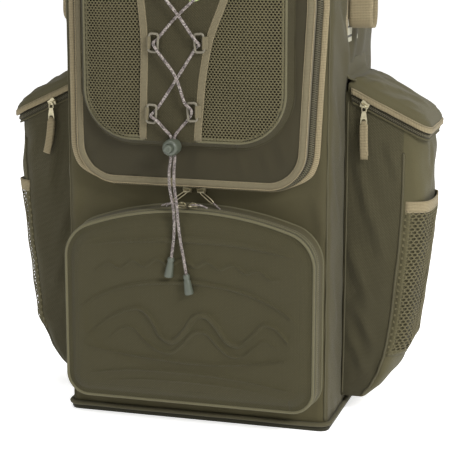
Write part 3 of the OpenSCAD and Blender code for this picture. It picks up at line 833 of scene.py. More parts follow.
def bag_wall(inset, z):
    """Lattice of the bag's wall at the given heights, moved in by inset."""
    x, y, nx, ny, z = np.broadcast_arrays(*BAG_P.T[:, :, None], *BAG_N.T[:, :, None], z[None, :])
    s = bag_swell(x, y, z, nx, ny) - inset
    return np.stack([x + s * nx, y + s * ny, z], -1)


b = Build()
z_out = np.linspace(6, BAG_TOP, 160)
outer = bag_wall(0.0, z_out)
inner = bag_wall(3.6, z_out)
inner[:, 0, 2] = 9.0
uv = spread(distance(BAG_P)[:, None], z_out[None, :])
b.grid(outer, uv, 0, close_u=True)
b.grid(inner, uv, 1, close_u=True, flip=True)
b.grid(np.stack([outer[:, -1], (outer[:, -1] + inner[:, -1]) / 2 + [0, 0, 0.8], inner[:, -1]], 1),
       None, 0, close_u=True)
b.add(outer[:, 0], [tuple(range(len(BAG_P)))], None, 1)
b.add(inner[:, 0], [tuple(range(len(BAG_P)))], None, 1)
b.put("bag_shell", ["body", "lining"], "bag", replaces="main_bag", slot="body_fabric")

b = Build()
for sx in (-1, 1):
    for sy in (-1, 1):
        zz = np.linspace(14, 628, 120)
        path = np.stack([sx * (EDGE - 3.2) + 0 * zz, sy * (BACK - 3.2) + 0 * zz, zz], 1)
        path[:, 0] += 0.25 * waves(zz[:, None], 2 + sx, 60)
        tube_into(b, path, 1.15, 8)
b.put("bag_corner_seams", "piping", "bag", slot="piping")

b = Build()
p, nrm = outline(340, -127, 127, 12, 12, step=5)
loft(b, p, nrm, [(-3, 0, 0), (-0.6, 0.5, 0), (0, 1.8, 0), (0, 4.6, 0), (-0.8, 5.8, 0), (-3, 6.0, 0)],
     flatwise, (flat, 0), (flat, 0), 12)
b.put("base_bottom", "base", "bag", replaces="base_panel", slot="base_fabric", auto=50)

b = Build()
ring = np.stack([p[:, 0] + 0.6 * nrm[:, 0], p[:, 1] + 0.6 * nrm[:, 1],
                 9.0 + 0.7 * waves(p, 21, 90)], 1)
tube_into(b, ring, 2.9, 12, closed=True)
b.put("base_cord_piping", "piping", "bag", replaces="base_piping", slot="piping")


def cad(node, material, bevel=0.6):
    """Show a CAD node as it is, with a material and softened edges."""
    o = nodes[node]
    o.data.materials.clear()
    o.data.materials.append(M[material])
    mod = o.modifiers.new("edges", "BEVEL")
    mod.width = bevel * MM
    mod.segments = 3
    mod.limit_method = "ANGLE"
    mod.angle_limit = math.radians(40)
    mod.harden_normals = False


cad("frame_sheet", "sheet", 0.6)


# ------------------------------------------------------------------ harness
def pad(name, w, z0, z1, low, high, cx, thick, body, node=None, grooves=(), mesh="padmesh"):
    """Foam pad sewn flat to the back wall, with a bound edge."""
    b = Build()
    p, nrm = outline(w, z0, z1, low, high, cx, step=4)

    def relief(a, c, f):
        puff = 3.0 * dome(f)
        for g in grooves:
            puff = puff - 4.0 * np.exp(-(((c - g) / 3.5) ** 2))
        return puff + 0.5 * waves(np.stack([a, c], -1), 31, 40)

    loft(b, p, nrm, [(-2, BACK + 0.5, 1), (0, BACK + 1, 1), (0.2, BACK + 3, 1), (0.6, BACK + thick * 0.6, 1),
                     (0, BACK + thick - 2.4, 1), (-3, BACK + thick - 0.6, 0), (-6, BACK + thick, 0)],
         upright, (flat, 1), (relief, 0), 30)
    sweep(b, p, nrm, tape_section(-5.5, BACK + thick - 0.2, 0.7, BACK + thick - 5.5, 1.2), mat=2)
    o = b.put(name, [mesh, "pad", "dark_web"], body, replaces=node or (), slot="padding")
    return o


pad("back_pad_left", 66, 236, 585, 18, 18, -62, 14, "bag", "back_pads", (300, 365, 430, 495, 548))
pad("back_pad_right", 66, 236, 585, 18, 18, 62, 14, "bag", None, (300, 365, 430, 495, 548))
pad("lumbar_pad", 176, 66, 204, 24, 24, 0, 18, "bag", None, (112, 158))


def pad_strip(b, path, width, thick, side, mats):
    """Long foam strap with domed faces and bound edges."""
    path = np.asarray(path, float)
    s, n = across(path, side)
    width = np.broadcast_to(np.asarray(width, float), (len(path),))
    x = np.linspace(-1, 1, 22)
    h = thick / 2 * (1 - np.abs(x) ** 5) ** 0.5
    h = np.maximum(h, 0.8)
    d = distance(path)
    end = np.clip(np.minimum(d, d[-1] - d) / 9, 0, 1) ** 0.5
    end = np.maximum(end, 0.2)
    for g, m in ((1, mats[0]), (-1, mats[1])):
        P = (path[:, None] + x[None, :, None] * (width[:, None, None] / 2) * s[:, None]
             + g * (h[None, :, None] * end[:, None, None]) * n[:, None])
        uv = np.stack([np.broadcast_to(x[None, :], P.shape[:2]) * width[:, None] / 2,
                       np.broadcast_to(d[:, None], P.shape[:2])], -1)
        b.grid(P, uv, m)
    for i in (0, -1):
        lo = path[i] + x[:, None] * width[i] / 2 * s[i] - (h * end[i])[:, None] * n[i]
        hi = path[i] + x[:, None] * width[i] / 2 * s[i] + (h * end[i])[:, None] * n[i]
        b.grid(np.stack([lo, hi], 1), None, mats[1])
    for k in (0, -1):
        lo = path + x[k] * width[:, None] / 2 * s - (h[k] * end)[:, None] * n
        hi = path + x[k] * width[:, None] / 2 * s + (h[k] * end)[:, None] * n
        b.grid(np.stack([lo, hi], 1), None, mats[2])
    for k in (-1, 1):
        tube_into(b, path[2:-2] + k * (width[2:-2, None] / 2 - 0.4) * s[2:-2], 2.1, 8, mat=mats[2])


for side, sx in (("left", -1), ("right", 1)):
    b = Build()
    bow = [(sx * 85, -17 + 207 * math.cos(a), 465 + 207 * math.sin(a))
           for a in np.radians(np.linspace(38.5, -38.5, 40))]
    root = catmull([(sx * 85, 126.5, 615), (sx * 85, 134, 609), (sx * 85, 140.5, 601), bow[0]], 4)[:-1]
    path = np.vstack([root, bow])
    width = np.interp(np.arange(len(path)), [0, 6, 20, len(path) - 12, len(path) - 1], [62, 63, 64, 58, 36])
    pad_strip(b, path, width, 10, (1, 0, 0), (0, 1, 2))
    ribbon_into(b, path[8:-1], 24, 1.6, side=(1, 0, 0), mat=3)
    o = b.put(f"shoulder_pad_{side}", ["pad", "padmesh", "dark_web", "dark_web"], "bag",
              replaces=f"shoulder_strap_{side}", slot="padding")
b = Build()
for sx in (-1, 1):
    foot = np.array([(sx * 85, 145.5, 312), (sx * 85, 146.6, 302), (sx * 86, 144.8, 292), (sx * 99, 140, 240),
                     (sx * 117, 132.5, 165), (sx * 133, 128.2, 100), (sx * 138.5, 127.0, 70),
                     (sx * 139, 126.4, 62)])
    ribbon_into(b, catmull(foot, 6), 25, 1.7, side=(1, 0, 0))
    ribbon_into(b, catmull([(sx * 85, 142.6, 335), (sx * 85, 143.6, 330), (sx * 85, 146.4, 321),
                            (sx * 85, 145.6, 316), (sx * 85, 143.0, 324), (sx * 85, 141.0, 333)], 5), 25, 1.5,
                side=(1, 0, 0))
    plate_into(b, rounded(30, 22, 2), 0, 1.6, local((sx * 139, BACK + 0.4, 62), (1, 0, 0), (0, 0, 1),
                                                    (0, 1, 0)))
b.put("strap_adjusters", "dark_web", "bag", replaces="strap_webbings", slot="dark_webbing")
cad("strap_buckles", "dark_plastic", 0.7)

for side, sx in (("left", -1), ("right", 1)):
    b = Build()
    line = [(157.5, 126.5), (158.5, 136), (156.5, 146), (148, 152), (130, 152.6), (99, 152.4), (66, 152.4),
            (37, 152.4)]
    path = catmull([(sx * x, y, SADDLE_Z) for x, y in line], 8)
    width = np.interp(np.arange(len(path)), [0, 14, 26, 42, len(path) - 1], [86, 88, 96, 90, 54])
    pad_strip(b, path, width, 9.6, (0, 0, 1), (0, 1, 2))
    o = b.put(f"hip_pad_{side}", ["padmesh", "pad", "dark_web"], f"hip_{side}", replaces=f"hip_wing_{side}",
              slot="padding")
    b = Build()
    line = [(sx * x, y, SADDLE_Z) for x, y in ((102, 158.2), (60, 158.3), (30, 158.4), (26, 158.4))]
    ribbon_into(b, resample(line, 3), 30, 1.7, side=(0, 0, 1))
    b.put(f"hip_strap_{side}", "dark_web", f"hip_{side}", replaces=f"hip_webbing_{side}", slot="dark_webbing")
cad("hip_buckle_male", "dark_plastic", 0.8)
cad("hip_buckle_female", "dark_plastic", 1.2)

b = Build()
grip = [(55.7 * math.cos(a), 94 + 55.7 * math.sin(a), 602.5) for a in np.radians(np.linspace(145, 35, 40))]
grip = [(-62, 126.2, 602.5), (-52, 126.4, 602.5)] + grip + [(52, 126.4, 602.5), (62, 126.2, 602.5)]
grip = resample(grip, 2.5)
mid = np.exp(-((grip[:, 0] / 30) ** 4))
ribbon_into(b, grip, 25 - 5 * mid, 2.4, side=(0, 0, 1))
for sx in (-1, 1):
    plate_into(b, rounded(18, 27, 1.5), 0, 1.4, local((sx * 58, BACK + 1.4, 602.5), (1, 0, 0), (0, 0, 1),
                                                      (0, 1, 0)),
               mat=1)
b.put("haul_loop", ["tan", "dark_web"], "bag", replaces="haul_handle", slot="tan_webbing")

# ------------------------------------------------------------------ top lid
b = Build()
p, nrm = outline(*BAG_PLAN, step=4)


def lid_top(a, c, f):
    """The top lid's padded dome."""
    rise = 4.2 * dome(f)
    return rise + 1.1 * waves(np.stack([a, c], -1), 41, 80) * np.clip(f * 5, 0, 1)


loft(b, p, nrm, [(-4.2, 659.5, 1), (-4, 641.6, 1), (-2.6, 640.6, 0), (-0.8, 640.8, 0), (0, 642.5, 0),
                 (0.5, 650, 0), (0.3, 657, 0), (-1, 661.5, 0), (-3.6, 664.2, 0), (-6, 665, 0)],
     flatwise, (flat, 1), (lid_top, 0), 40)
sweep(b, p, nrm, round_section(-3.0, 664.4, 1.7), flatwise, mat=2)
sweep(b, p, nrm, tape_section(0.9, 641.2, 1.1, 649.5, 1.3), flatwise, mat=3)
b.put("lid_cover", ["side", "lining", "piping", "tape"], "lid", replaces="top_lid", slot="flap_fabric")


def hinge_strip(name, line, u_dir, width, a, mat="side", t=1.4, n=60):
    """Fabric that joins two bodies: line runs across the joint and is spread width along u_dir."""
    b = Build()
    line = catmull(line, 5)
    x = np.linspace(-width / 2, width / 2, n)
    P = line[None, :, :] + x[:, None, None] * np.array(u_dir, float)[None, None, :]
    thick_into(b, P, t)
    o = b.put(name, mat, a)
    o.parent = None
    del o["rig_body"]
    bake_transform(o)
    return o


hinge_strip("lid_hinge_fabric", [(0, 125.4, 622), (0, 126.6, 632), (0, 127.0, 641), (0, 126.8, 649),
                                 (0, 125.8, 656)],
            (1, 0, 0), 286, "bag")

b = Build()
p, nrm = outline(338, -126, 126, 13, 13, step=3)
front_run = part_of(p, nrm, p[:, 1] < 100)
sweep(b, *front_run, tape_section(0.2, 629.5, 0.2, 639.2, 1.4), flatwise, closed=False, mat=0)
run = front_run[0]
path = np.column_stack([run[:, 0] + 1.6 * front_run[1][:, 0], run[:, 1] + 1.6 * front_run[1][:, 1],
                        np.full(len(run), 636.8)])


def coil(b, path, normals, mat=0, pitch=2.6, half=2.4, r=0.95):
    """Zip coil: rounded bars, left and right in turn, along a path with one normal per point."""
    d = distance(path)
    s = np.arange(0, d[-1], pitch / 2)
    c = np.stack([np.interp(s, d, path[:, k]) for k in range(3)], 1)
    n = np.stack([np.interp(s, d, normals[:, k]) for k in range(3)], 1)
    t = np.gradient(c, axis=0)
    t /= np.linalg.norm(t, axis=1)[:, None]
    n -= (n * t).sum(1)[:, None] * t
    n /= np.linalg.norm(n, axis=1)[:, None]
    w = np.cross(t, n)
    g = np.where(np.arange(len(s)) % 2, 1.0, -1.0)
    ang = np.arange(6) * math.pi / 3
    xs, rr = np.array([-0.2, 0.1, 0.78, 1.0]) * half, np.array([0.5, 1.0, 0.95, 0.4]) * r
    base = (c[:, None, :] + w[:, None, :] * (xs[None, :, None] * g[:, None, None]))
    ring = (np.cos(ang)[:, None, None] * t[None] * 0.7 + np.sin(ang)[:, None, None] * n[None])
    P = base[:, :, None, :] + rr[None, :, None, None] * np.moveaxis(ring, 0, 1)[:, None, :, :]
    quad = []
    for k in range(3):
        for j in range(6):
            quad.append((k * 6 + j, k * 6 + (j + 1) % 6, (k + 1) * 6 + (j + 1) % 6, (k + 1) * 6 + j))
    faces = []
    for i in range(len(s)):
        o = i * 24
        faces += [tuple(o + v for v in q) for q in quad]
        faces += [tuple(o + v for v in (5, 4, 3, 2, 1, 0)), tuple(o + 18 + v for v in range(6))]
    b.add(P.reshape(-1, 3), faces, np.repeat(np.stack([s, s], 1), 24, 0), mat)


out_n = np.column_stack([front_run[1], 0 * run[:, 0]])
coil(b, path, out_n, 1)
b.put("lid_zip_coil", ["zip_tape", "coil"], "bag", replaces="top_zip", slot="zip_coil")


# ------------------------------------------------------------------ sliders and pulls
def slider_into(b, o, along, out, mat=0, scale=1.0):
    """Zip slider: two shaped plates, the post between them and an arched bridge."""
    x, k = np.cross(along, out), scale
    to = local(o, x, along, out)
    shape = np.array([(-3.2, -5.4), (-3.6, -2), (-4.9, 2.2), (-4.4, 4.6), (-1.4, 5.4), (1.4, 5.4), (4.4, 4.6),
                      (4.9, 2.2), (3.6, -2), (3.2, -5.4)]) * k
    plate_into(b, shape, 1.5 * k, 2.9 * k, to, mat=mat)
    plate_into(b, shape, -1.2 * k, 0.0, to, mat=mat)
    plate_into(b, rounded(2.4 * k, 5 * k, 1.0, cy=2.4 * k), -0.6 * k, 2.2 * k, to, mat=mat)
    arch = np.array([(0, -4.0, 2.4), (0, -3.8, 4.2), (0, -2.0, 5.4), (0, 1.0, 5.5), (0, 3.4, 4.6),
                     (0, 4.0, 2.4)]) * k
    tube_into(b, to(catmull(arch, 4)), 0.85 * k, 8, mat=mat, up=tuple(x))


b = Build()
slider_into(b, (0, -129.2, 635.6), (1, 0, 0), (0, -1, 0))
to = local((2, -133.2, 635.4), (0, 0, 1), (1, 0, 0), (0, -1, 0))
plate_into(b, rounded(5, 27, 2.2, cy=13.5), -0.7, 0.7, to, hole=rounded(2.4, 7, 1.1, cy=21))
b.put("lid_zip_slider", "brass", "lid_slider", replaces="top_slider", slot="zip_metal", auto=40)

# ------------------------------------------------------------------ front flap
FP, FN = outline(*FLAP, step=3)


def flare(a, c):
    """The stuffed front leans the flap's right edge out towards its top."""
    return np.clip(a / 146, 0, 1) * np.interp(c, [300, 350, 430, 520, 606], [-4.0, -4.0, 0.0, 5.0, 5.0])


def on_flap(a, d, c):
    """Upright placing that follows the flap's flare."""
    return upright(a + flare(a, c), d, c)


OP, ON = outline(*OVAL, step=2.5)


def in_panel(a, c, w, z0, z1, low, high, cx=0.0, grow=0.0):
    """True inside an upright rounded outline."""
    a = np.abs(a - cx)
    w, z0, z1, low, high = w / 2 + grow, z0 - grow, z1 + grow, low + grow, high + grow
    ok = (a < w) & (c > z0) & (c < z1)
    lo = (a > w - low) & (c < z0 + low) & (np.hypot(a - (w - low), c - (z0 + low)) > low)
    hi = (a > w - high) & (c > z1 - high) & (np.hypot(a - (w - high), c - (z1 - high)) > high)
    return ok & ~lo & ~hi


FLAP_FOLDS = (((-110, 350), (-128, 318), 7, 1.3), ((60, 350), (72, 318), 6, 1.2),
              ((108, 372), (126, 330), 7, 1.5), ((92, 352), (104, 322), 5, 1.0),
              ((-40, 352), (-34, 318), 6, 1.0), ((10, 350), (4, 318), 6, 0.9),
              ((-130, 420), (-138, 360), 6, 1.0), ((132, 470), (138, 390), 6, 1.1))


def flap_relief(a, c, f):
    """Padding and folds of the flap, flat under the mesh pocket."""
    q = np.stack([a, c], -1)
    under = in_panel(a, c, *OVAL, 2)
    r = 1.5 * smoothstep(0, 0.12, f) + 0.7 * waves(q * [1.0, 0.45], 12, 34)
    r = r + creases(q, FLAP_FOLDS)
    r = np.where(under, -1.2, r)
    return -r * smoothstep(0, 0.05, f)


b = Build()
loft(b, FP, FN, [(-4, -139.6, 1), (-4, -127, 1), (-3, -125.8, 1), (-0.6, -125.9, 1), (0, -127.5, 0),
                 (0, -138.5, 0), (-0.7, -141.2, 0), (-2.6, -142.4, 0)],
     on_flap, (flat, 1), (flap_relief, 0), 60)
b.put("flap_panel", ["flap", "lining"], "flap", replaces="front_flap", slot="flap_fabric")

b = Build()
low_p, low_n = part_of(FP, FN, FP[:, 1] < 602)


def pucker_tape(q):
    """The tape ripples most where it turns the lower corners."""
    bend = (np.exp(-(((q[:, 1] - 322) / 12) ** 2)) + np.exp(-(((q[:, 1] - 312) / 9) ** 2)))[:, None]
    return 0.0, 0.25 * waves(q, 14, 16)[:, None] * (1 + 1.5 * bend)


sec = np.array([(-8.6, -142.8), (-8.4, -143.8), (-5, -144.2), (-1.2, -143.7), (0.7, -141.6), (1.0, -138),
                (1.0, -134.4), (0.2, -134.2), (-0.2, -138), (-0.8, -141), (-3, -142.4), (-6, -142.6)])
sweep(b, low_p, low_n, sec, on_flap, closed=False, extra=pucker_tape)
sweep(b, low_p, low_n, round_section(-7.6, -143.9, 0.34, 6), on_flap, closed=False, mat=1, extra=pucker_tape)
sweep(b, low_p, low_n, round_section(0.5, -142.6, 0.75, 8), on_flap, closed=False, mat=1, extra=pucker_tape)
b.put("flap_edge_tape", ["tape", "tan"], "flap", replaces="flap_binding", slot="binding_tape")


def tuck(inner, outer):
    """Along the lower edge the zip is tucked under the flap; at the sides it stands clear."""
    ramp = np.linspace(inner, outer, 5)
    return lambda q: (-low_w[:, None] * np.concatenate([ramp, ramp[::-1]])[None, :], 0.0)


b = Build()
low_w = smoothstep(0.45, 0.95, -low_n[:, 1])
sweep(b, low_p, low_n, tape_section(0.6, -133.5, 8.4, -127.0, 0.9), on_flap, closed=False, mat=0,
      extra=tuck(0.4, 3.6))
sweep(b, low_p, low_n, tape_section(7.6, -128.6, 14.6, -126.6, 1.3), on_flap, closed=False, mat=2,
      extra=tuck(3.4, 9.0))
ctr = 4.6 - 2.2 * low_w
path = on_flap(low_p[:, 0] + ctr * low_n[:, 0], -131.4 - 0.6 * low_w, low_p[:, 1] + ctr * low_n[:, 1])
nn = np.column_stack([0.64 * low_n[:, 0], np.full(len(low_p), -0.77), 0.64 * low_n[:, 1]])
coil(b, path, nn, 1, 2.7, 3.4 , 0.95)
b.put("flap_zip_coil", ["zip_tape", "coil", "tan"], "bag", replaces="flap_zip", slot="zip_coil")
hinge_strip("flap_hinge_fabric", [(0, -126.0, 626), (0, -126.8, 616), (0, -128.6, 609), (0, -132.5, 606.6),
                                  (0, -138.5, 605.6)], (1, 0, 0), 262, "bag",
            "tan")

for side, sx in (("left", -1), ("right", 1)):
    b = Build()
    slider_into(b, (sx * 9, -127.8, 297), (sx, 0, 0), (0, -0.9, -0.43))
    b.put(f"flap_slider_body_{side}", "brass", f"flap_zip_{side}", replaces=f"flap_slider_{side}",
          slot="zip_metal", auto=40)
    b = Build()
    o = np.array([sx * 9, -132.4, 294.6])
    d1 = np.array([sx * 0.8, -0.06, -0.6])
    wire = []
    for u, v in ((-0.4, 0.2), (1.5, 1.5), (8, 1.75), (15, 1.9), (19.5, 1.3), (20.6, 0.0), (19.5, -1.3),
                 (15, -1.9),
                 (8, -1.75), (1.5, -1.5)):
        wire.append(o + d1 * u + np.array([0.6 * sx, 0, 0.8]) * v * -1 + [0, -0.02 * u, 0])
    tube_into(b, resample(catmull(wire + wire[:1], 4)[:-1], 0.9, closed=True), 0.62, 8, closed=True,
              up=(0, -1, 0))
    tail = catmull([o + d1 * 20, o + d1 * 27 + [0, -1.0, 0], o + d1 * 32 + [0, -0.5, -0.5]], 5)
    tube_into(b, tail, 1.0, 8, mat=1)
    b.put(f"flap_pull_wire_{side}", ["brass", "cord"], f"flap_tab_{side}", replaces=f"flap_pull_{side}",
          slot="zip_metal", auto=60)

# ------------------------------------------------------------------ raised mesh pocket
b = Build()
g_sec = np.array([(9.5, -142.4), (8.6, -143.8), (6.0, -146.2), (3.2, -150.0), (1.0, -153.0), (-0.6, -153.8),
                  (-2.4, -153.4), (-2.6, -150), (-2.4, -142.4)])
sweep(b, OP, ON, g_sec, mat=0, extra=ripple(0.45, 51, 30, [0, 0.4, 1, 1, 0.6, 0, 0, 0, 0]))
# Both front pipings take the brightened piping colour: painted highlight.
sweep(b, OP, ON, round_section(0.4, -154.3, 1.7, 10), mat=1)
sweep(b, OP, ON, round_section(-3.2, -154.4, 1.5, 8), mat=1)
sweep(b, OP, ON, round_section(8.6, -143.4, 1.1, 8), mat=0)
b.put("mesh_pocket_gusset", ["strip", "piping_painted_highlight"], "flap", replaces="oval_gusset", slot="body_fabric")

LEFT_EDGE = catmull([(-56, 352), (-55, 390), (-54, 425), (-53, 480), (-57, 530), (-64, 604)], 10)
RIGHT_EDGE = catmull([(12, 352), (16, 400), (20, 440), (29, 485), (46, 530), (70, 604)], 10)


def strip_edges(z):
    """Left and right edge of the lacing strip at a height."""
    return (np.interp(z, LEFT_EDGE[:, 1], LEFT_EDGE[:, 0]), np.interp(z, RIGHT_EDGE[:, 1], RIGHT_EDGE[:, 0]))


def mesh_bulge(a, c):
    """The net stands out in the middle of each half."""
    l, r = strip_edges(c)
    left = a < (l + r) / 2
    lo = np.where(left, -130, r)
    hi = np.where(left, l, 120)
    u = np.clip((a - lo) / np.maximum(hi - lo, 1), 0, 1)
    v = np.clip((c - 361) / 235, 0, 1)
    puff = 5.0 * np.sin(np.pi * u) ** 0.8 * np.sin(np.pi * v) ** 0.5
    return puff + 0.5 * waves(np.stack([a, c], -1), 17, 50)


def on_mesh(a, d, c):
    """Places the pocket's net on its bulging surface."""
    return np.stack([a, -154.6 + d - mesh_bulge(a, c), c], -1)


def mesh_inside(a, c):
    """True where the net shows: inside the oval and beside the strip."""
    l, r = strip_edges(c)
    within = bool(in_panel(np.array(a), np.array(c), *OVAL, -1.5))
    return within and not (l + 3 < a < r - 3)


b = Build()
net_into(b, mesh_inside, on_mesh, (-131, 361), (121, 597), 4.3, 3.0, 0.60, 0.62)
b.put("pocket_net", "net", "flap", replaces="mesh_panels", slot="mesh")

b = Build()
z = np.linspace(358.5, 597, 100)
l, r = strip_edges(z)
u = np.linspace(0, 1, 36)
A = l[:, None] + (r - l)[:, None] * u[None, :]
C = z[:, None] + 0 * A
keep = 1 - np.clip((np.abs(C - 478) - 112) / 8, 0, 1)
sag = 1.2 - 0.35 * waves(np.stack([A, C], -1), 61, 26)
Y = -155.6 - sag * np.sin(np.pi * u)[None, :] + 2.0 * (1 - keep)
P = np.stack([A, Y, C], -1)
thick_into(b, P, 1.6, uv=P[..., [0, 2]])
for edge_line, g in ((LEFT_EDGE, -1), (RIGHT_EDGE, 1)):
    e = resample(edge_line, 3)
    e = e[(e[:, 1] > 359.5) & (e[:, 1] < 596)]
    over = np.clip((np.abs(e[:, 1] - 478) - 110) / 9, 0, 1)
    path = np.column_stack([e[:, 0], -157.3 + 2.4 * over - 0.2 * waves(e, 71 + g, 24), e[:, 1]])
    ribbon_into(b, path, 9.6, 1.5, side=(1, 0, 0), mat=1)
    for k in (-1, 1):
        tube_into(b, path + [k * 3.9, -0.68, 0], 0.3, 6, mat=2)
b.put("lacing_strip", ["strip", "tape", "tan"], "flap", replaces="centre_strip", slot="flap_fabric")



def ellipse(rx, rz, n=64):
    """Outline of the badge."""
    t = np.arange(n) * 2 * math.pi / n
    return np.stack([-3 + rx * np.cos(t), 553 + rz * np.sin(t)], 1)


b = Build()
el = ellipse(36, 28.8)
t = np.arange(64) * 2 * math.pi / 64
en = np.stack([np.cos(t) * 28.8, np.sin(t) * 36], 1)
en = unit(en)
loft(b, el, en, [(-1, -154.9, 0), (0, -155.6, 0), (0, -157.4, 0), (-0.9, -158.3, 0), (-3.4, -158.3, 0),
                 (-4.2, -157.6, 1), (-6, -157.5, 1), (-6.8, -158.2, 0), (-8, -158.5, 0)],
     upright, (flat, 0), (lambda a, c, f: -1.6 * dome(f), 0), 12)
b.put("oval_badge", ["badge", "badge_ring"], "flap", replaces="badge", slot="badge_face", auto=50)

# middles of the six cord loops in x-z
LOOPS = [(-60, 569), (52, 569), (-40, 478), (17, 479), (-43, 393), (8, 397)]
b = Build()
for x, z in LOOPS:
    g = -1 if x < 0 else 1
    lean = math.radians(4 * g)
    ring = rounded(11.2, 21.5, 2.6, 5)
    ring = ring @ np.array([[math.cos(lean), math.sin(lean)], [-math.sin(lean), math.cos(lean)]])
    path = np.column_stack([x + ring[:, 0], np.full(len(ring), -162.2), z + ring[:, 1]])
    tube_into(b, resample(path, 1.2, closed=True), 1.5, 10, closed=True, up=(0, -1, 0))
    tab = catmull([(x + g * 9.5, -157.9, z), (x + g * 7.4, -161.0, z), (x + g * 6.2, -164.4, z),
                   (x + g * 4.2, -163.4, z),
                   (x + g * 4.0, -160.6, z), (x + g * 6.8, -158.4, z), (x + g * 10, -157.2, z)], 4)
    ribbon_into(b, tab, 15, 1.0, side=(0, 0, 1), mat=1)
b.put("cord_loops", ["loop", "tape"], "flap", replaces="lacing_loops", slot="loop_plastic", auto=60)

CF, CB = -165.9, -158.4  # depths of the cord in front of the loops and behind them
LACE = [(-19.4, LOCK_Y, 357), (-19.4, LOCK_Y, 366), (-25, CF + 2, 374), (-34, CF + 1, 384), (-39, CF, 388),
        (-43, -165.2, 391), (-40, CB, 396), (-34, CB, 403), (-12, CB, 436), (8, CB, 467), (13, CB, 474),
        (17, -162.1, 477), (14, CF, 482), (9, CF, 488), (-9, CF, 513), (-46, CF, 556), (-56, CF, 564),
        (-60, -162.1, 568), (-57, CB, 573), (-50, CB, 580), (-34, CF, 585), (0, CF, 588), (34, CF, 585),
        (44, CF, 580), (49, CF, 575), (52, -162.1, 571), (49, CB, 565), (42, CB, 558), (-8, CB, 513),
        (-31, CB, 488), (-36, CB, 482), (-40, -162.1, 478), (-37, CF, 473), (-31, CF, 465), (-12, CF, 440),
        (-1, CF, 410), (4, CF, 404), (8, -165.2, 399), (5, CB, 392), (-1, CB, 384), (-10, CB + 0.5, 374),
        (-14.6, LOCK_Y, 366), (-14.6, LOCK_Y, 357)]
b = Build()
tube_into(b, resample(catmull(np.array(LACE, float), 8), 1.6), 1.75, 10, up=(0, -1, 0))
b.put("lacing_cord_run", "cord", "flap", replaces="lacing_cord", slot="elastic_cord")

b = Build()
lathe_into(b, (-17, -155.6, 354), (0, -1, 0),
           [(0, 5.6), (0, 8.6), (1.2, 9.8), (4, 10.0), (13, 10.0), (16.2, 9.6), (18.2, 8.4), (19, 7.0),
            (19, 5.6),
            (15, 5.45)], 40)
b.put("cord_lock_body", "lock", "flap", replaces="lock_body", slot="lock_plastic", auto=40)
b = Build()
lathe_into(b, (-17, -169.9, 354), (0, -1, 0),
           [(0, 5.2), (9.5, 5.2), (11.4, 4.9), (12.3, 4.0), (12.5, 2.9), (12.0, 2.2), (11.8, 0.2)], 32)
b.put("cord_lock_button", "lock", "lock_button", replaces="lock_plunger", slot="lock_plastic", auto=40)

# ------------------------------------------------------------------ moulded lower pocket
SHELL_TOP, CORNER, ARCH_X = 276.0, 45.0, 5.0
ARCH_R = 159.0**2 / 68 + 17
ARCH_Z = SHELL_TOP - ARCH_R


def arched(step):
    """Outline of the moulded pocket: straight sides, round corners and an arched top."""
    def corner(s):
        cx = s * (159.0 - CORNER)
        cz = ARCH_Z + math.sqrt((ARCH_R - CORNER) ** 2 - (cx - ARCH_X) ** 2)
        return cx, cz, math.degrees(math.atan2(cz - ARCH_Z, cx - ARCH_X))

    (xr, zr, ar), (xl, zl, al) = corner(1), corner(-1)
    pts = np.vstack([arc(131, 60, 28, -90, 0, 30), arc(xr, zr, CORNER, 0, ar, 30),
                     arc(ARCH_X, ARCH_Z, ARCH_R, ar, al, 90), arc(xl, zl, CORNER, al, 180, 30),
                     arc(-131, 60, 28, 180, 270, 30)])
    p = resample(pts, step, closed=True)
    return p, outward(p)


SP, SN = arched(2.2)


def band(a, c, line, width, height, soft=1.1):
    """Raised moulded band along a smooth line through points; width is (start, middle, end)."""
    pts = catmull(line, 14)
    q = np.stack([a, c], -1).reshape(-1, 2)
    prof = np.interp(np.linspace(0, 1, len(pts)), [0, 0.5, 1], width)
    best = np.full(len(q), 1e9)
    near = np.zeros(len(q), int)
    qi = np.where(((q > pts.min(0) - 12) & (q < pts.max(0) + 12)).all(1))[0]
    for i, p0 in enumerate(pts):
        d = np.hypot(q[qi, 0] - p0[0], q[qi, 1] - p0[1])
        m = d < best[qi]
        best[qi[m]] = d[m]
        near[qi[m]] = i
    h = height * (1 - smoothstep(-soft, soft, best - prof[near] / 2))
    return h.reshape(a.shape)


# ridges and grooves moulded into the door, as lines in x-z
CREST = [(-126, 238), (-97, 247), (-56, 257), (-17, 262), (26, 262), (68, 257), (100, 248)]
GROOVE = [(-108, 239), (-62, 247), (-19, 251), (28, 252), (68, 248), (110, 240)]
STEP = [(-139, 226), (-84, 235), (-8, 241), (47, 241), (97, 235), (138, 226)]
UPPER = [(-139, 144), (-127, 156), (-100, 171), (-63, 182), (-22, 187), (23, 188), (66, 182), (107, 168),
         (135, 150), (145, 139)]
LOWER = [(-137, 100), (-97, 94), (-53, 90), (1, 87), (44, 88), (87, 93), (135, 101)]
LOW2 = [(-124, 64), (-75, 72), (-20, 74), (34, 73), (87, 68), (135, 60)]
LOW3 = [(-111, 54), (-64, 60), (-10, 62), (44, 61), (87, 57), (121, 51)]
SWELL = [(-135, 103), (-112, 127), (-85, 145), (-60, 151), (-44, 138), (-34, 120), (-18, 112), (-2, 126),
         (10, 144),
         (26, 148), (40, 134), (52, 118), (68, 114), (84, 128), (98, 142), (114, 138), (128, 122)]
SWELL2 = [(-100, 112), (-84, 124), (-68, 126), (-54, 112), (-38, 101), (-20, 98), (-4, 110), (10, 125),
          (26, 126),
          (40, 112), (54, 101), (70, 100), (86, 112), (98, 121), (112, 116)]
RIPPLE = [(-118, 196), (-100, 207), (-84, 201), (-68, 212), (-52, 206), (-36, 216), (-20, 209), (-4, 217),
          (12, 209),
          (28, 216), (44, 208), (60, 214), (76, 205), (92, 209), (106, 199), (118, 200)]


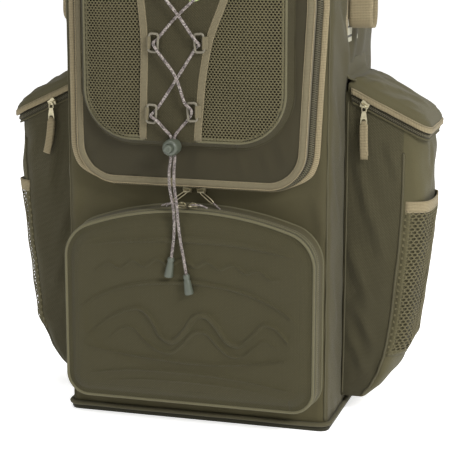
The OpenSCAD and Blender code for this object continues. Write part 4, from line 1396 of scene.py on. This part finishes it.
def door_relief(a, c, f):
    """Dome and moulded ridges of the lower pocket's door."""
    swell = 2.6 * dome(f)
    e = np.clip(f * 9, 0, 1)
    h = 0.0 * a
    for line, w, k in ((CREST, (1.0, 2.6, 1.0), 1.2), (STEP, (2.0, 8.0, 2.0), 2.4),
                       (UPPER, (1.5, 5.0, 1.5), 2.4),
                       (LOWER, (1.5, 4.6, 1.5), 2.2), (LOW2, (1.5, 4.6, 1.5), 2.0),
                       (LOW3, (1.0, 3.4, 1.0), 1.6),
                       (SWELL, (1.5, 7.5, 2.5), 2.6), (SWELL2, (1.5, 4.5, 1.5), 2.0),
                       (RIPPLE, (1.5, 4.2, 1.5), 1.9)):
        h = np.maximum(h, band(a, c, line, w, k))
    h = h - band(a, c, GROOVE, (1.0, 3.0, 1.0), 1.2)
    inner = (a / 138) ** 2 + ((c - 134) / 62) ** 2
    sink = 1.3 * (1 - smoothstep(0.86, 1.04, inner))
    return -(swell + (h - sink) * e + 0.35 * waves(np.stack([a, c], -1), 91, 60))


b = Build()
loft(b, SP, SN, [(-8, -157.6, 1), (-4.4, -157.2, 1), (-4, -149.6, 1), (-2.5, -149.0, 0), (-0.3, -149.4, 0),
                 (0.2, -151, 0), (0.3, -156.2, 0), (-0.6, -158.6, 0), (-3.6, -159.2, 0), (-6.0, -159.0, 0),
                 (-8.4, -159.6, 0), (-10.6, -161.3, 0), (-13.4, -162.8, 0), (-17, -163.4, 0)],
     upright, (lambda a, c, f: -1.5 * np.sin(np.pi / 2 * np.clip(f, 0, 1)), 1), (door_relief, 0), 104)
# Both door pipings take the brightened piping colour: painted highlight.
sweep(b, SP, SN, round_section(-0.9, -158.7, 1.9, 10), mat=2)
sweep(b, SP, SN, round_section(0.2, -150.2, 1.5, 8), mat=2)
b.put("moulded_door", ["shell", "lining", "piping_painted_highlight"], "door", replaces="shell_door", slot="moulded_face")

b = Build()
sweep(b, SP, SN, np.array([(3.2, -125.2), (2.6, -127), (1.0, -131), (0.3, -136), (0.1, -142.4),
                           (-0.6, -143.0),
                           (-2.6, -143.0), (-3, -142.4), (-3, -125.2)]), mat=0,
      extra=ripple(0.5, 53, 36, [0, 0.5, 1, 1, 0.3, 0, 0, 0, 0]))
# Both gusset pipings take the brightened piping colour: painted highlight.
sweep(b, SP, SN, round_section(-0.1, -142.6, 1.5, 8), mat=1)
sweep(b, SP, SN, round_section(2.2, -126.2, 1.5, 8), mat=1)
b.put("moulded_gusset", ["body", "piping_painted_highlight"], "bag", replaces="shell_gusset", slot="body_fabric")

b = Build()
zp, zn = part_of(SP, SN, SP[:, 1] > 50)
sweep(b, zp, zn, tape_section(-0.6, -143.4, -0.6, -148.9, 1.1), closed=False, mat=0)
path = np.column_stack([zp[:, 0] + 0.9 * zn[:, 0], np.full(len(zp), -146.0), zp[:, 1] + 0.9 * zn[:, 1]])
coil(b, path, np.column_stack([zn[:, 0], 0 * zn[:, 0], zn[:, 1]]), 1, 2.6, 2.3, 0.95)
b.put("moulded_zip_coil", ["zip_tape", "coil"], "bag", replaces="shell_zip", slot="zip_coil")
hinge_strip("door_hinge_fabric", [(0, -137, 30.9), (0, -142.4, 31.0), (0, -147, 31.2), (0, -151.5, 31.0),
                                  (0, -156, 31.4)], (1, 0, 0), 250, "bag",
            "shell", 1.0)

for side, x in (("left", -10), ("right", 4)):
    sx = -1 if side == "left" else 1
    b = Build()
    slider_into(b, (x, -145.4, 277.6), (-sx, 0, 0), (0, 0, 1), scale=0.94)
    b.put(f"moulded_slider_body_{side}", "brass", f"shell_zip_{side}", replaces=f"shell_slider_{side}",
          slot="zip_metal", auto=40)
    b = Build()
    to = local((x, -146.4, 283.5), (1, 0, 0), (0.06 * sx, -1, -0.05), (0, 0, 1))
    outer_t = rounded(5.0, 18.5, 2.3, 5, cy=9)
    plate_into(b, outer_t, -0.65, 0.65, to, hole=rounded(2.4, 4.4, 1.1, 5, cy=2.6))
    tail = catmull([(x + sx, -161.5, 283.5), (x + sx * 7, -161.6, 284.6), (x + sx * 15, -160.4, 283.8),
                    (x + sx * 22, -159.4, 281.0)], 6)
    tube_into(b, tail, 0.95, 8, mat=1)
    b.put(f"moulded_pull_bar_{side}", ["brass", "cord"], f"shell_tab_{side}", replaces=f"shell_pull_{side}",
          slot="zip_metal", auto=50)

# ------------------------------------------------------------------ side pockets
LEAN = np.array([(22, 66), (36, 50), (56, 36), (76, 27), (97, 21), (118, 17), (138, 14), (180, 9), (221, 4),
                 (262, 1), (300, 0), (500, 0)], float)


def lean_at(z):
    """How far a side pocket's outer wall draws in towards the bag."""
    return np.interp(z, LEAN[:, 0], LEAN[:, 1])


# folds of a side pocket by side, over (distance from its front root, height)
POCKET_FOLDS = {
    1: (
        ((8, 372), (34, 250), 7, 2.6), ((24, 300), (62, 190), 8, 2.4), ((4, 230), (46, 130), 9, 2.8),
        ((14, 150), (60, 84), 8, 2.4), ((54, 356), (70, 300), 6, 2.0), ((86, 352), (100, 250), 8, 2.4),
        ((110, 372), (118, 300), 7, 2.4), ((140, 360), (120, 284), 8, 2.2),
        ((88, 120), (130, 50), 9, 2.6), ((150, 110), (190, 60), 9, 2.2), ((180, 350), (206, 250), 9, 2.4),
        ((230, 370), (214, 280), 8, 2.2), ((6, 110), (50, 50), 8, 2.2), ((70, 76), (96, 34), 7, 2.2)
    ),
    -1: (
        ((6, 300), (60, 180), 9, 2.8), ((10, 240), (64, 140), 8, 2.6), ((4, 180), (56, 96), 9, 2.6),
        ((40, 350), (60, 270), 7, 2.2), ((16, 378), (26, 320), 6, 1.8), ((70, 352), (92, 300), 7, 2.4),
        ((96, 340), (108, 260), 8, 2.4), ((130, 370), (122, 300), 8, 2.2), ((84, 110), (128, 44), 9, 2.6),
        ((150, 120), (196, 60), 9, 2.2), ((190, 350), (214, 260), 9, 2.2), ((8, 96), (60, 44), 8, 2.4)
    ),
}


def pocket_surface(sx, inset, nv, step=3.2):
    """Lattice of a side pocket's wall: along its plan from the front root to the back root, and up."""
    R = 20.0
    plan = [(0.0, SIDE_FRONT, 0.0, -1.0)]
    w = SIDE_OUT - SIDE_X
    for cy, a0 in ((SIDE_FRONT + R, -90), (SIDE_BACK - R, 0)):
        for a in np.radians(np.linspace(a0, a0 + 90, 12)):
            plan.append((w - R + R * math.cos(a), cy + R * math.sin(a), math.cos(a), math.sin(a)))
    plan.append((0.0, SIDE_BACK, 0.0, 1.0))
    plan = resample(np.array(plan), step)
    ux, y, nx, ny = (plan[:, k][:, None] for k in range(4))
    v = np.linspace(0, 1, nv)[None, :]
    zl = 22.0 + (300 - 22.0) * np.clip(v / 0.72, 0, 1) ** 1.25
    ln = lean_at(zl)
    k = (w - ln) / w
    x = ux * k
    top = rim_at(SIDE_X + ux) - 0.4
    z = np.where(v <= 0.72, zl, 300 + (v - 0.72) / 0.28 * (top - 300))
    x, y, nx, ny, s, v, z = np.broadcast_arrays(x, y, nx, ny, distance(plan[:, :2])[:, None], v, z)
    q = np.stack([s, z], -1)
    total = s.max()
    rise = smoothstep(22, 70, z) * smoothstep(1.0, 0.86, v)
    fr, ot = np.clip(-ny, 0, 1), np.clip(nx, 0, 1)
    bow = np.sin(np.pi * np.clip(x / 92, 0, 1))
    crown = np.sin(np.pi * np.clip((y - SIDE_FRONT) / (SIDE_BACK - SIDE_FRONT), 0, 1))
    swell = fr * 4.2 * bow**0.8 + ot * 4.5 * crown + np.clip(ny, 0, 1) * 2.5 * bow
    fold = creases(q, POCKET_FOLDS[sx])
    swell = (swell + fold + waves(q, 101 + sx, 42)) * rise
    edge_fade = np.clip(np.minimum(s, total - s) / 8, 0, 1)
    swell = swell * edge_fade
    swell = swell - inset
    px = SIDE_X + x + swell * nx
    px = np.where((inset > 0) & (x < 2), SIDE_X + inset, px)
    P = np.stack([sx * px, y + swell * ny, z + (inset * 0.8 if inset else 0) * smoothstep(60, 22, z)], -1)
    uv = np.stack([s, z], -1)
    return P, uv, s, z


POCKET = {}
for side, sx in (("left", -1), ("right", 1)):
    b = Build()
    P, uv, s, z = pocket_surface(sx, 0.0, 130)
    Q, _, _, _ = pocket_surface(sx, 2.8, 130)
    POCKET[side] = (P, s, z)
    cut = int(np.argmin(np.abs(s[:, 0] - (73 if sx > 0 else 92))))
    b.grid(P[: cut + 1], uv[: cut + 1], 0)
    b.grid(P[cut:], uv[cut:], 1)
    b.grid(Q, uv, 2)
    for i in (0, -1):
        b.grid(np.stack([P[i], Q[i]], 1), None, 1)
    mid = (P[:, -1] + Q[:, -1]) / 2 + [0, 0, 0.7]
    b.grid(np.stack([P[:, -1], mid, Q[:, -1]], 1), None, 1)
    for S, m in ((P, 1), (Q, 2)):
        b.add(S[:, 0], [tuple(range(len(S)))], None, m)
    f = np.linspace(0, 1, 24)
    wallP = P[0][:, None] + (P[-1] - P[0])[:, None] * f[None, :, None]
    wallQ = Q[0][:, None] + (Q[-1] - Q[0])[:, None] * f[None, :, None]
    b.grid(wallP, None, 2)
    b.grid(wallQ, None, 2)
    b.grid(np.stack([wallP[-1], wallQ[-1]], 1), None, 1)
    b.put(f"side_pocket_body_{side}", ["twill", "side", "lining"], "bag", replaces=f"side_pocket_{side}",
          slot="body_fabric")
    b = Build()
    seam = P[cut, 3:112] + np.array([sx * 0.5, -0.5, 0])
    tube_into(b, resample(seam, 3), 1.5, 8, mat=0)
    seam2 = P[cut, 3:124]
    tube_into(b, resample(seam2 + np.array([sx * 2.6, 0.9, 0]), 3), 0.5, 6, mat=1)
    for root_i, lift in ((1, -0.3), (-2, 0.3)):
        tube_into(b, resample(P[root_i, 3:126] + [0, lift, 0], 4), 1.1, 8, mat=0)
    b.put(f"side_pocket_piping_{side}", ["piping", "side"], "bag", slot="piping")

# ---- outer mesh pockets
b = Build()
for side, sx in (("left", -1), ("right", 1)):
    P, s, z = POCKET[side]
    col = (P[:, 100, 1] < 50) & (np.abs(P[:, 100, 0]) > (242 if sx > 0 else 255))
    rows = np.where(col)[0]

    def on_wall(a, d, c, P=P, rows=rows, sx=sx):
        """a runs from 0 to 1 across the pocket's outer wall, c is height; the net stands off it."""
        zs = P[rows[len(rows) // 2], :, 2]
        fi = rows[0] + a * (rows[-1] - rows[0])
        fj = np.interp(c, zs, np.arange(len(zs)))
        i0, j0 = np.clip(fi.astype(int), 0, len(P) - 2), np.clip(fj.astype(int), 0, len(zs) - 2)
        u, v = (fi - i0)[..., None], (fj - j0)[..., None]
        base = (P[i0, j0] * (1 - u) * (1 - v) + P[i0 + 1, j0] * u * (1 - v) + P[i0, j0 + 1] * (1 - u) * v
                + P[i0 + 1, j0 + 1] * u * v)
        off = 0.8 + 4.6 * np.sin(np.pi * np.clip(a, 0, 1)) ** 0.35 * smoothstep(76, 100, c)
        off = off + 1.4 * smoothstep(230, 278, c) * np.sin(np.pi * np.clip(a, 0, 1))
        return base + np.stack([sx * (off - d), 0 * off, 0 * off], -1)

    width = 92.0
    net_into(b, lambda a, c: 2 < a < width - 2 and 83 < c < 268,
             lambda a, d, c: on_wall(a / width, d, c), (0, 80), (width, 272), 6.2, 4.1, 0.64, 0.6)
    a = np.linspace(0.0, 1, 40)
    A, C = np.meshgrid(a, np.linspace(264.5, 279, 5), indexing="ij")
    thick_into(b, on_wall(A, 0 * A - 0.5, C), 1.4, mat=1, flip=sx < 0)
    A, C = np.meshgrid(a, np.linspace(79, 86, 3), indexing="ij")
    thick_into(b, on_wall(A, 0 * A - 0.3, C), 1.2, mat=2, flip=sx < 0)
    for a0, a1 in ((0.0, 0.05), (0.95, 1.0)):
        A, C = np.meshgrid(np.linspace(a0, a1, 3), np.linspace(80, 270, 50), indexing="ij")
        thick_into(b, on_wall(A, 0 * A - 0.3, C), 1.2, mat=2, flip=sx < 0)
b.put("outer_net_pockets", ["net", "tan", "side"], "bag", replaces="side_meshes", slot="mesh")


# ---- lids of the side pockets
def lid_plan(step=3.0):
    """Closed outline of a right lid in x-y with outward normals."""
    r, x0, x1, y0, y1 = 20.0, 171.5, SIDE_OUT + 8, SIDE_FRONT - 6, SIDE_BACK + 6
    corners = ((x1 - r, y0 + r, r, -90), (x1 - r, y1 - r, r, 0), (x0 + 4, y1 - 4, 4, 90),
               (x0 + 4, y0 + 4, 4, 180))
    p = resample(np.vstack([arc(x, y, k, a, a + 90, 16) for x, y, k, a in corners]), step, closed=True)
    return p, outward(p)


LP, LN = lid_plan()
LID_FOLDS = (((188, -46), (214, -22), 5, 2.4), ((196, -30), (232, -2), 6, 2.6),
             ((222, -44), (256, -22), 5, 2.4), ((228, -8), (262, 22), 6, 2.4),
             ((180, -20), (206, 14), 6, 2.4), ((206, 18), (240, 40), 6, 2.2),
             ((242, -48), (266, -34), 4, 1.8), ((184, 34), (222, 58), 6, 2.0))
for side, sx in (("left", -1), ("right", 1)):
    def over(a, d, c, sx=sx):
        """Depth is measured up from the sloping rim plane."""
        return spread(sx * a, c, rim_at(a) + d)

    def lid_relief(a, c, f, sx=sx):
        u = np.clip((a - 171.5) / 102, 0, 1)
        rise = 13.5 * dome(f) * (1 - 0.35 * u)
        q = np.stack([a, c], -1)
        r = 1.3 * waves(q * [1.0, 0.7], 111 + sx, 30)
        r = r + creases(q, LID_FOLDS)
        return rise + r * np.clip(f * 4, 0, 1)

    b = Build()
    loft(b, LP, LN, [(-4, 9, 1), (-3, 1.6, 1), (-1.6, 0.8, 0), (-0.2, 1.2, 0), (0.3, 4, 0), (0.2, 8, 0),
                     (-0.8, 11.6, 0), (-3.2, 14.4, 0), (-6.5, 16.2, 0)],
         over, (lambda a, c, f: 3.0 * f, 1), (lid_relief, 0), 34)
    b.put(f"side_lid_cover_{side}", ["side", "lining"], f"pocket_lid_{side}", replaces=f"side_lid_{side}",
          slot="flap_fabric")
    b = Build()
    run = part_of(LP, LN, LP[:, 0] > 173.5)
    sec = np.array([(-1.4, 0.4), (0.6, 0.2), (1.3, 1.4), (1.5, 4.2), (1.3, 7.2), (0.5, 8.4), (0.1, 7.4),
                    (0.3, 4.2),
                    (0.1, 1.6), (-1.2, 1.4)])
    sweep(b, *run, sec, over, closed=False, mat=0,
          extra=lambda q: (0.25 * waves(q, 121, 20)[:, None], 0.35 * waves(q, 122, 26)[:, None]))
    sweep(b, *run, round_section(1.5, 6.9, 0.32, 6), over, closed=False, mat=1)
    b.put(f"side_lid_tape_{side}", ["tan", "tape"], f"pocket_lid_{side}", slot="binding_tape")
    hinge_strip(f"side_lid_hinge_{side}", [(sx * 167.6, 11, 450), (sx * 168.6, 11, 440),
                                           (sx * 171.0, 11, 431),
                                           (sx * 175.0, 11, 428), (sx * 181, 11, 426.4)], (0, 1, 0), 118,
                "bag", "side")

# ---- zips under the lids
b = Build()
for sx in (-1, 1):
    def under(a, d, c, sx=sx):
        return spread(sx * a, c, rim_at(a) + d)
    run = part_of(LP, LN, LP[:, 0] > 175)
    q, m = run
    sweep(b, q, m, tape_section(-4.6, -9.2, -3.4, -0.6, 1.2), under, closed=False, mat=0)
    path = np.column_stack([sx * (q[:, 0] - 2.9 * m[:, 0]), q[:, 1] - 2.9 * m[:, 1],
                            rim_at(q[:, 0] - 2.9 * m[:, 0]) - 4.6])
    coil(b, path, np.column_stack([sx * m[:, 0], m[:, 1], 0 * m[:, 0]]), 1, 2.5, 2.1, 0.85)
    sweep(b, q, m, round_section(-4.2, -10.0, 1.3, 8), under, closed=False, mat=2)
b.put("side_zip_coils", ["zip_tape", "coil", "side"], "bag", replaces="side_zips", slot="zip_coil")

for side, sx in (("left", -1), ("right", 1)):
    x0 = TAB_X[side]
    z0 = rim_at(x0)
    b = Build()
    slider_into(b, (sx * x0, SIDE_FRONT - 4.4, z0 - 4.3), (sx * -0.9014, 0, 0.433), (0, -1, 0))
    b.put(f"side_slider_body_{side}", "brass", f"pocket_zip_{side}", replaces=f"side_slider_{side}",
          slot="zip_metal", auto=40)
    b = Build()
    to = local((sx * x0, SIDE_FRONT - 9.0, z0 - 7.3), (1, 0, 0), (0, 0.0, -1), (0, -1, 0))
    eye = resample(rounded(5.4, 8.5, 2.4, 5, cy=2.0), 1.0, closed=True)
    tube_into(b, to(np.column_stack([eye, np.zeros(len(eye))])), 0.75, 8, closed=True, up=(0, 1, 0))
    shape = np.vstack([[(-2.4, 4.4), (2.4, 4.4)], [(3.2, 8), (4.2, 14)], [(4.4, 20), (3.4, 22)],
                       [(-3.4, 22), (-4.4, 20)], [(-4.2, 14), (-3.2, 8)]])
    hole = np.array([(-1.2, 14.4), (1.2, 14.4), (2.3, 15.4), (2.9, 16.8), (2.9, 18.6), (2.0, 19.8),
                     (-2.0, 19.8), (-2.9, 18.6), (-2.9, 16.8), (-2.3, 15.4)])
    plate_into(b, shape, -0.9, 0.9, to, hole=hole, bevel=0.3)
    b.put(f"side_tab_metal_{side}", "brass", f"pocket_tab_{side}", replaces=f"side_tab_{side}",
          slot="zip_metal", auto=40)
    b = Build()
    bend = -7 if side == "left" else 1.5
    top = z0 - 7.3 - 18.2
    ln = 45.5
    ss = np.linspace(0, 1, 26)
    front = np.column_stack([sx * x0 + bend * ss**2, SIDE_FRONT - 10.7 - 1.2 * np.sin(np.pi * ss) - 0.5 * ss,
                             top - ln * ss])
    rear = np.column_stack([sx * x0 + bend * ss**2, SIDE_FRONT - 7.2 + 0.4 * np.sin(np.pi * ss) - 1.6 * ss,
                            top - (ln - 4) * ss])
    loopy = np.vstack([rear[::-1], [(sx * x0, SIDE_FRONT - 7.6, top + 0.9), (sx * x0, SIDE_FRONT - 9.0,
                                                                             top + 1.5),
                             (sx * x0, SIDE_FRONT - 10.3, top + 0.9)], front])
    w = np.full(len(loopy), 9.6)
    w[24:31] = (7.5, 6.2, 5.4, 5.0, 5.4, 6.2, 7.5)
    ribbon_into(b, loopy, w, 1.35, side=(1, 0, 0.0), mat=0)
    b.put(f"side_puller_web_{side}", "tan", f"pocket_tab_{side}", replaces=f"side_puller_{side}",
          slot="tan_webbing")

# ---- rod loops and label
b = Build()
for sx in (-1, 1):
    x = sx * 186
    rear = [(x, -14.8, 604), (x, -15.4, 560), (x, -14.8, 520)]
    front = [(x, -45, 520), (x, -45.4, 560), (x, -43.4, 604)]
    turn = [(x, *q) for q in arc(-30, 505.8, 15.2, 0, -180, 14)]
    line = resample(catmull(rear + turn + front, 4), 2.5)
    ribbon_into(b, line, 30 + 0.4 * waves(line, 131, 30), 1.9, side=(1, 0, 0), mat=0)
    seam = resample([(x, -17, 603), (x, -44, 603)], 3)
    ribbon_into(b, seam, 30, 1.8, side=(1, 0, 0), mat=0)
    patch = local((sx * 169.6, -30, 598), (0, 1, 0), (0, 0, 1), (sx, 0, 0))
    plate_into(b, rounded(34, 18, 1.5), -1.4, 1.0, patch, mat=0)
    arm = resample([(sx * 168.5, -30, 602), (sx * 176, -30, 603)], 2)
    ribbon_into(b, arm, 31, 1.8, side=(0, 1, 0), mat=0)
b.put("rod_loops", "tan", "bag", replaces="side_loops", slot="tan_webbing")

b = Build()
to = local((EDGE + 1.2, -17, 487), (0, 1, 0), (0, 0, 1), (1, 0, 0))
for y0, y1, m in ((-14, -8.5, 0), (-8.5, -5.5, 1), (-5.5, 3.5, 0), (3.5, 6, 1), (6, 14, 0)):
    stripe = [(-31, y0), (31, y0), (31, y1), (-31, y1)]
    plate_into(b, stripe, 0, 1.2 if m == 0 else 1.0, to, mat=m, bevel=0.12)
to = local((EDGE + 1.4, -54, 516), (0, 1, 0), (0, 0, 1), (1, 0, 0))
plate_into(b, rounded(12, 86, 0.8), 0, 1.5, to, mat=2)
b.put("side_tag", ["label", "label_dark", "tan"], "bag", replaces="side_label", slot="label_tape", auto=40)

# ------------------------------------------------------------------ studio
def studio_floor(half, color, glow):
    """Wide white floor that also fills the background."""
    me = bpy.data.meshes.new("studio_floor")
    me.from_pydata([(x, y, 0) for y in (-half, half) for x in (-half, half)], [], [(0, 1, 3, 2)])
    mat = bpy.data.materials.new("studio_floor")
    mat.use_nodes = True
    bs = mat.node_tree.nodes["Principled BSDF"]
    bs.inputs["Base Color"].default_value = (*color, 1)
    bs.inputs["Roughness"].default_value = 0.9
    bs.inputs["Specular IOR Level"].default_value = 0.1
    bs.inputs["Emission Color"].default_value = (1, 1, 1, 1)
    bs.inputs["Emission Strength"].default_value = glow
    me.materials.append(mat)
    o = bpy.data.objects.new("studio_floor", me)
    bpy.context.scene.collection.objects.link(o)
    return o


floor = studio_floor(40.0, (0.88, 0.88, 0.88), 0.66)


def lamp(name, loc, size, energy):
    """Area lamp that points at the bag."""
    li = bpy.data.lights.new(name, "AREA")
    li.shape = "RECTANGLE"
    li.size, li.size_y = size
    li.energy = energy
    o = bpy.data.objects.new(name, li)
    o.location = loc
    o.rotation_euler = (Vector((0, 0, 0.3)) - Vector(loc)).to_track_quat("-Z", "Y").to_euler()
    bpy.context.scene.collection.objects.link(o)
    return o


lamps = [lamp("key", (1.9, -1.5, 1.9), (0.8, 1.0), 66),
         lamp("fill", (-1.6, -2.2, 1.2), (1.4, 1.4), 10),
         lamp("top", (0.0, -0.3, 2.4), (1.4, 1.2), 20),
         lamp("rear", (0.2, 2.0, 1.5), (1.6, 1.0), 18)]
scene = bpy.context.scene
scene.view_settings.view_transform = "Standard"
scene.world = scene.world or bpy.data.worlds.new("studio")
scene.world.use_nodes = True
bg = scene.world.node_tree.nodes.get("Background")
bg.inputs[0].default_value = (1.0, 1.0, 1.0, 1)
bg.inputs[1].default_value = 0.42
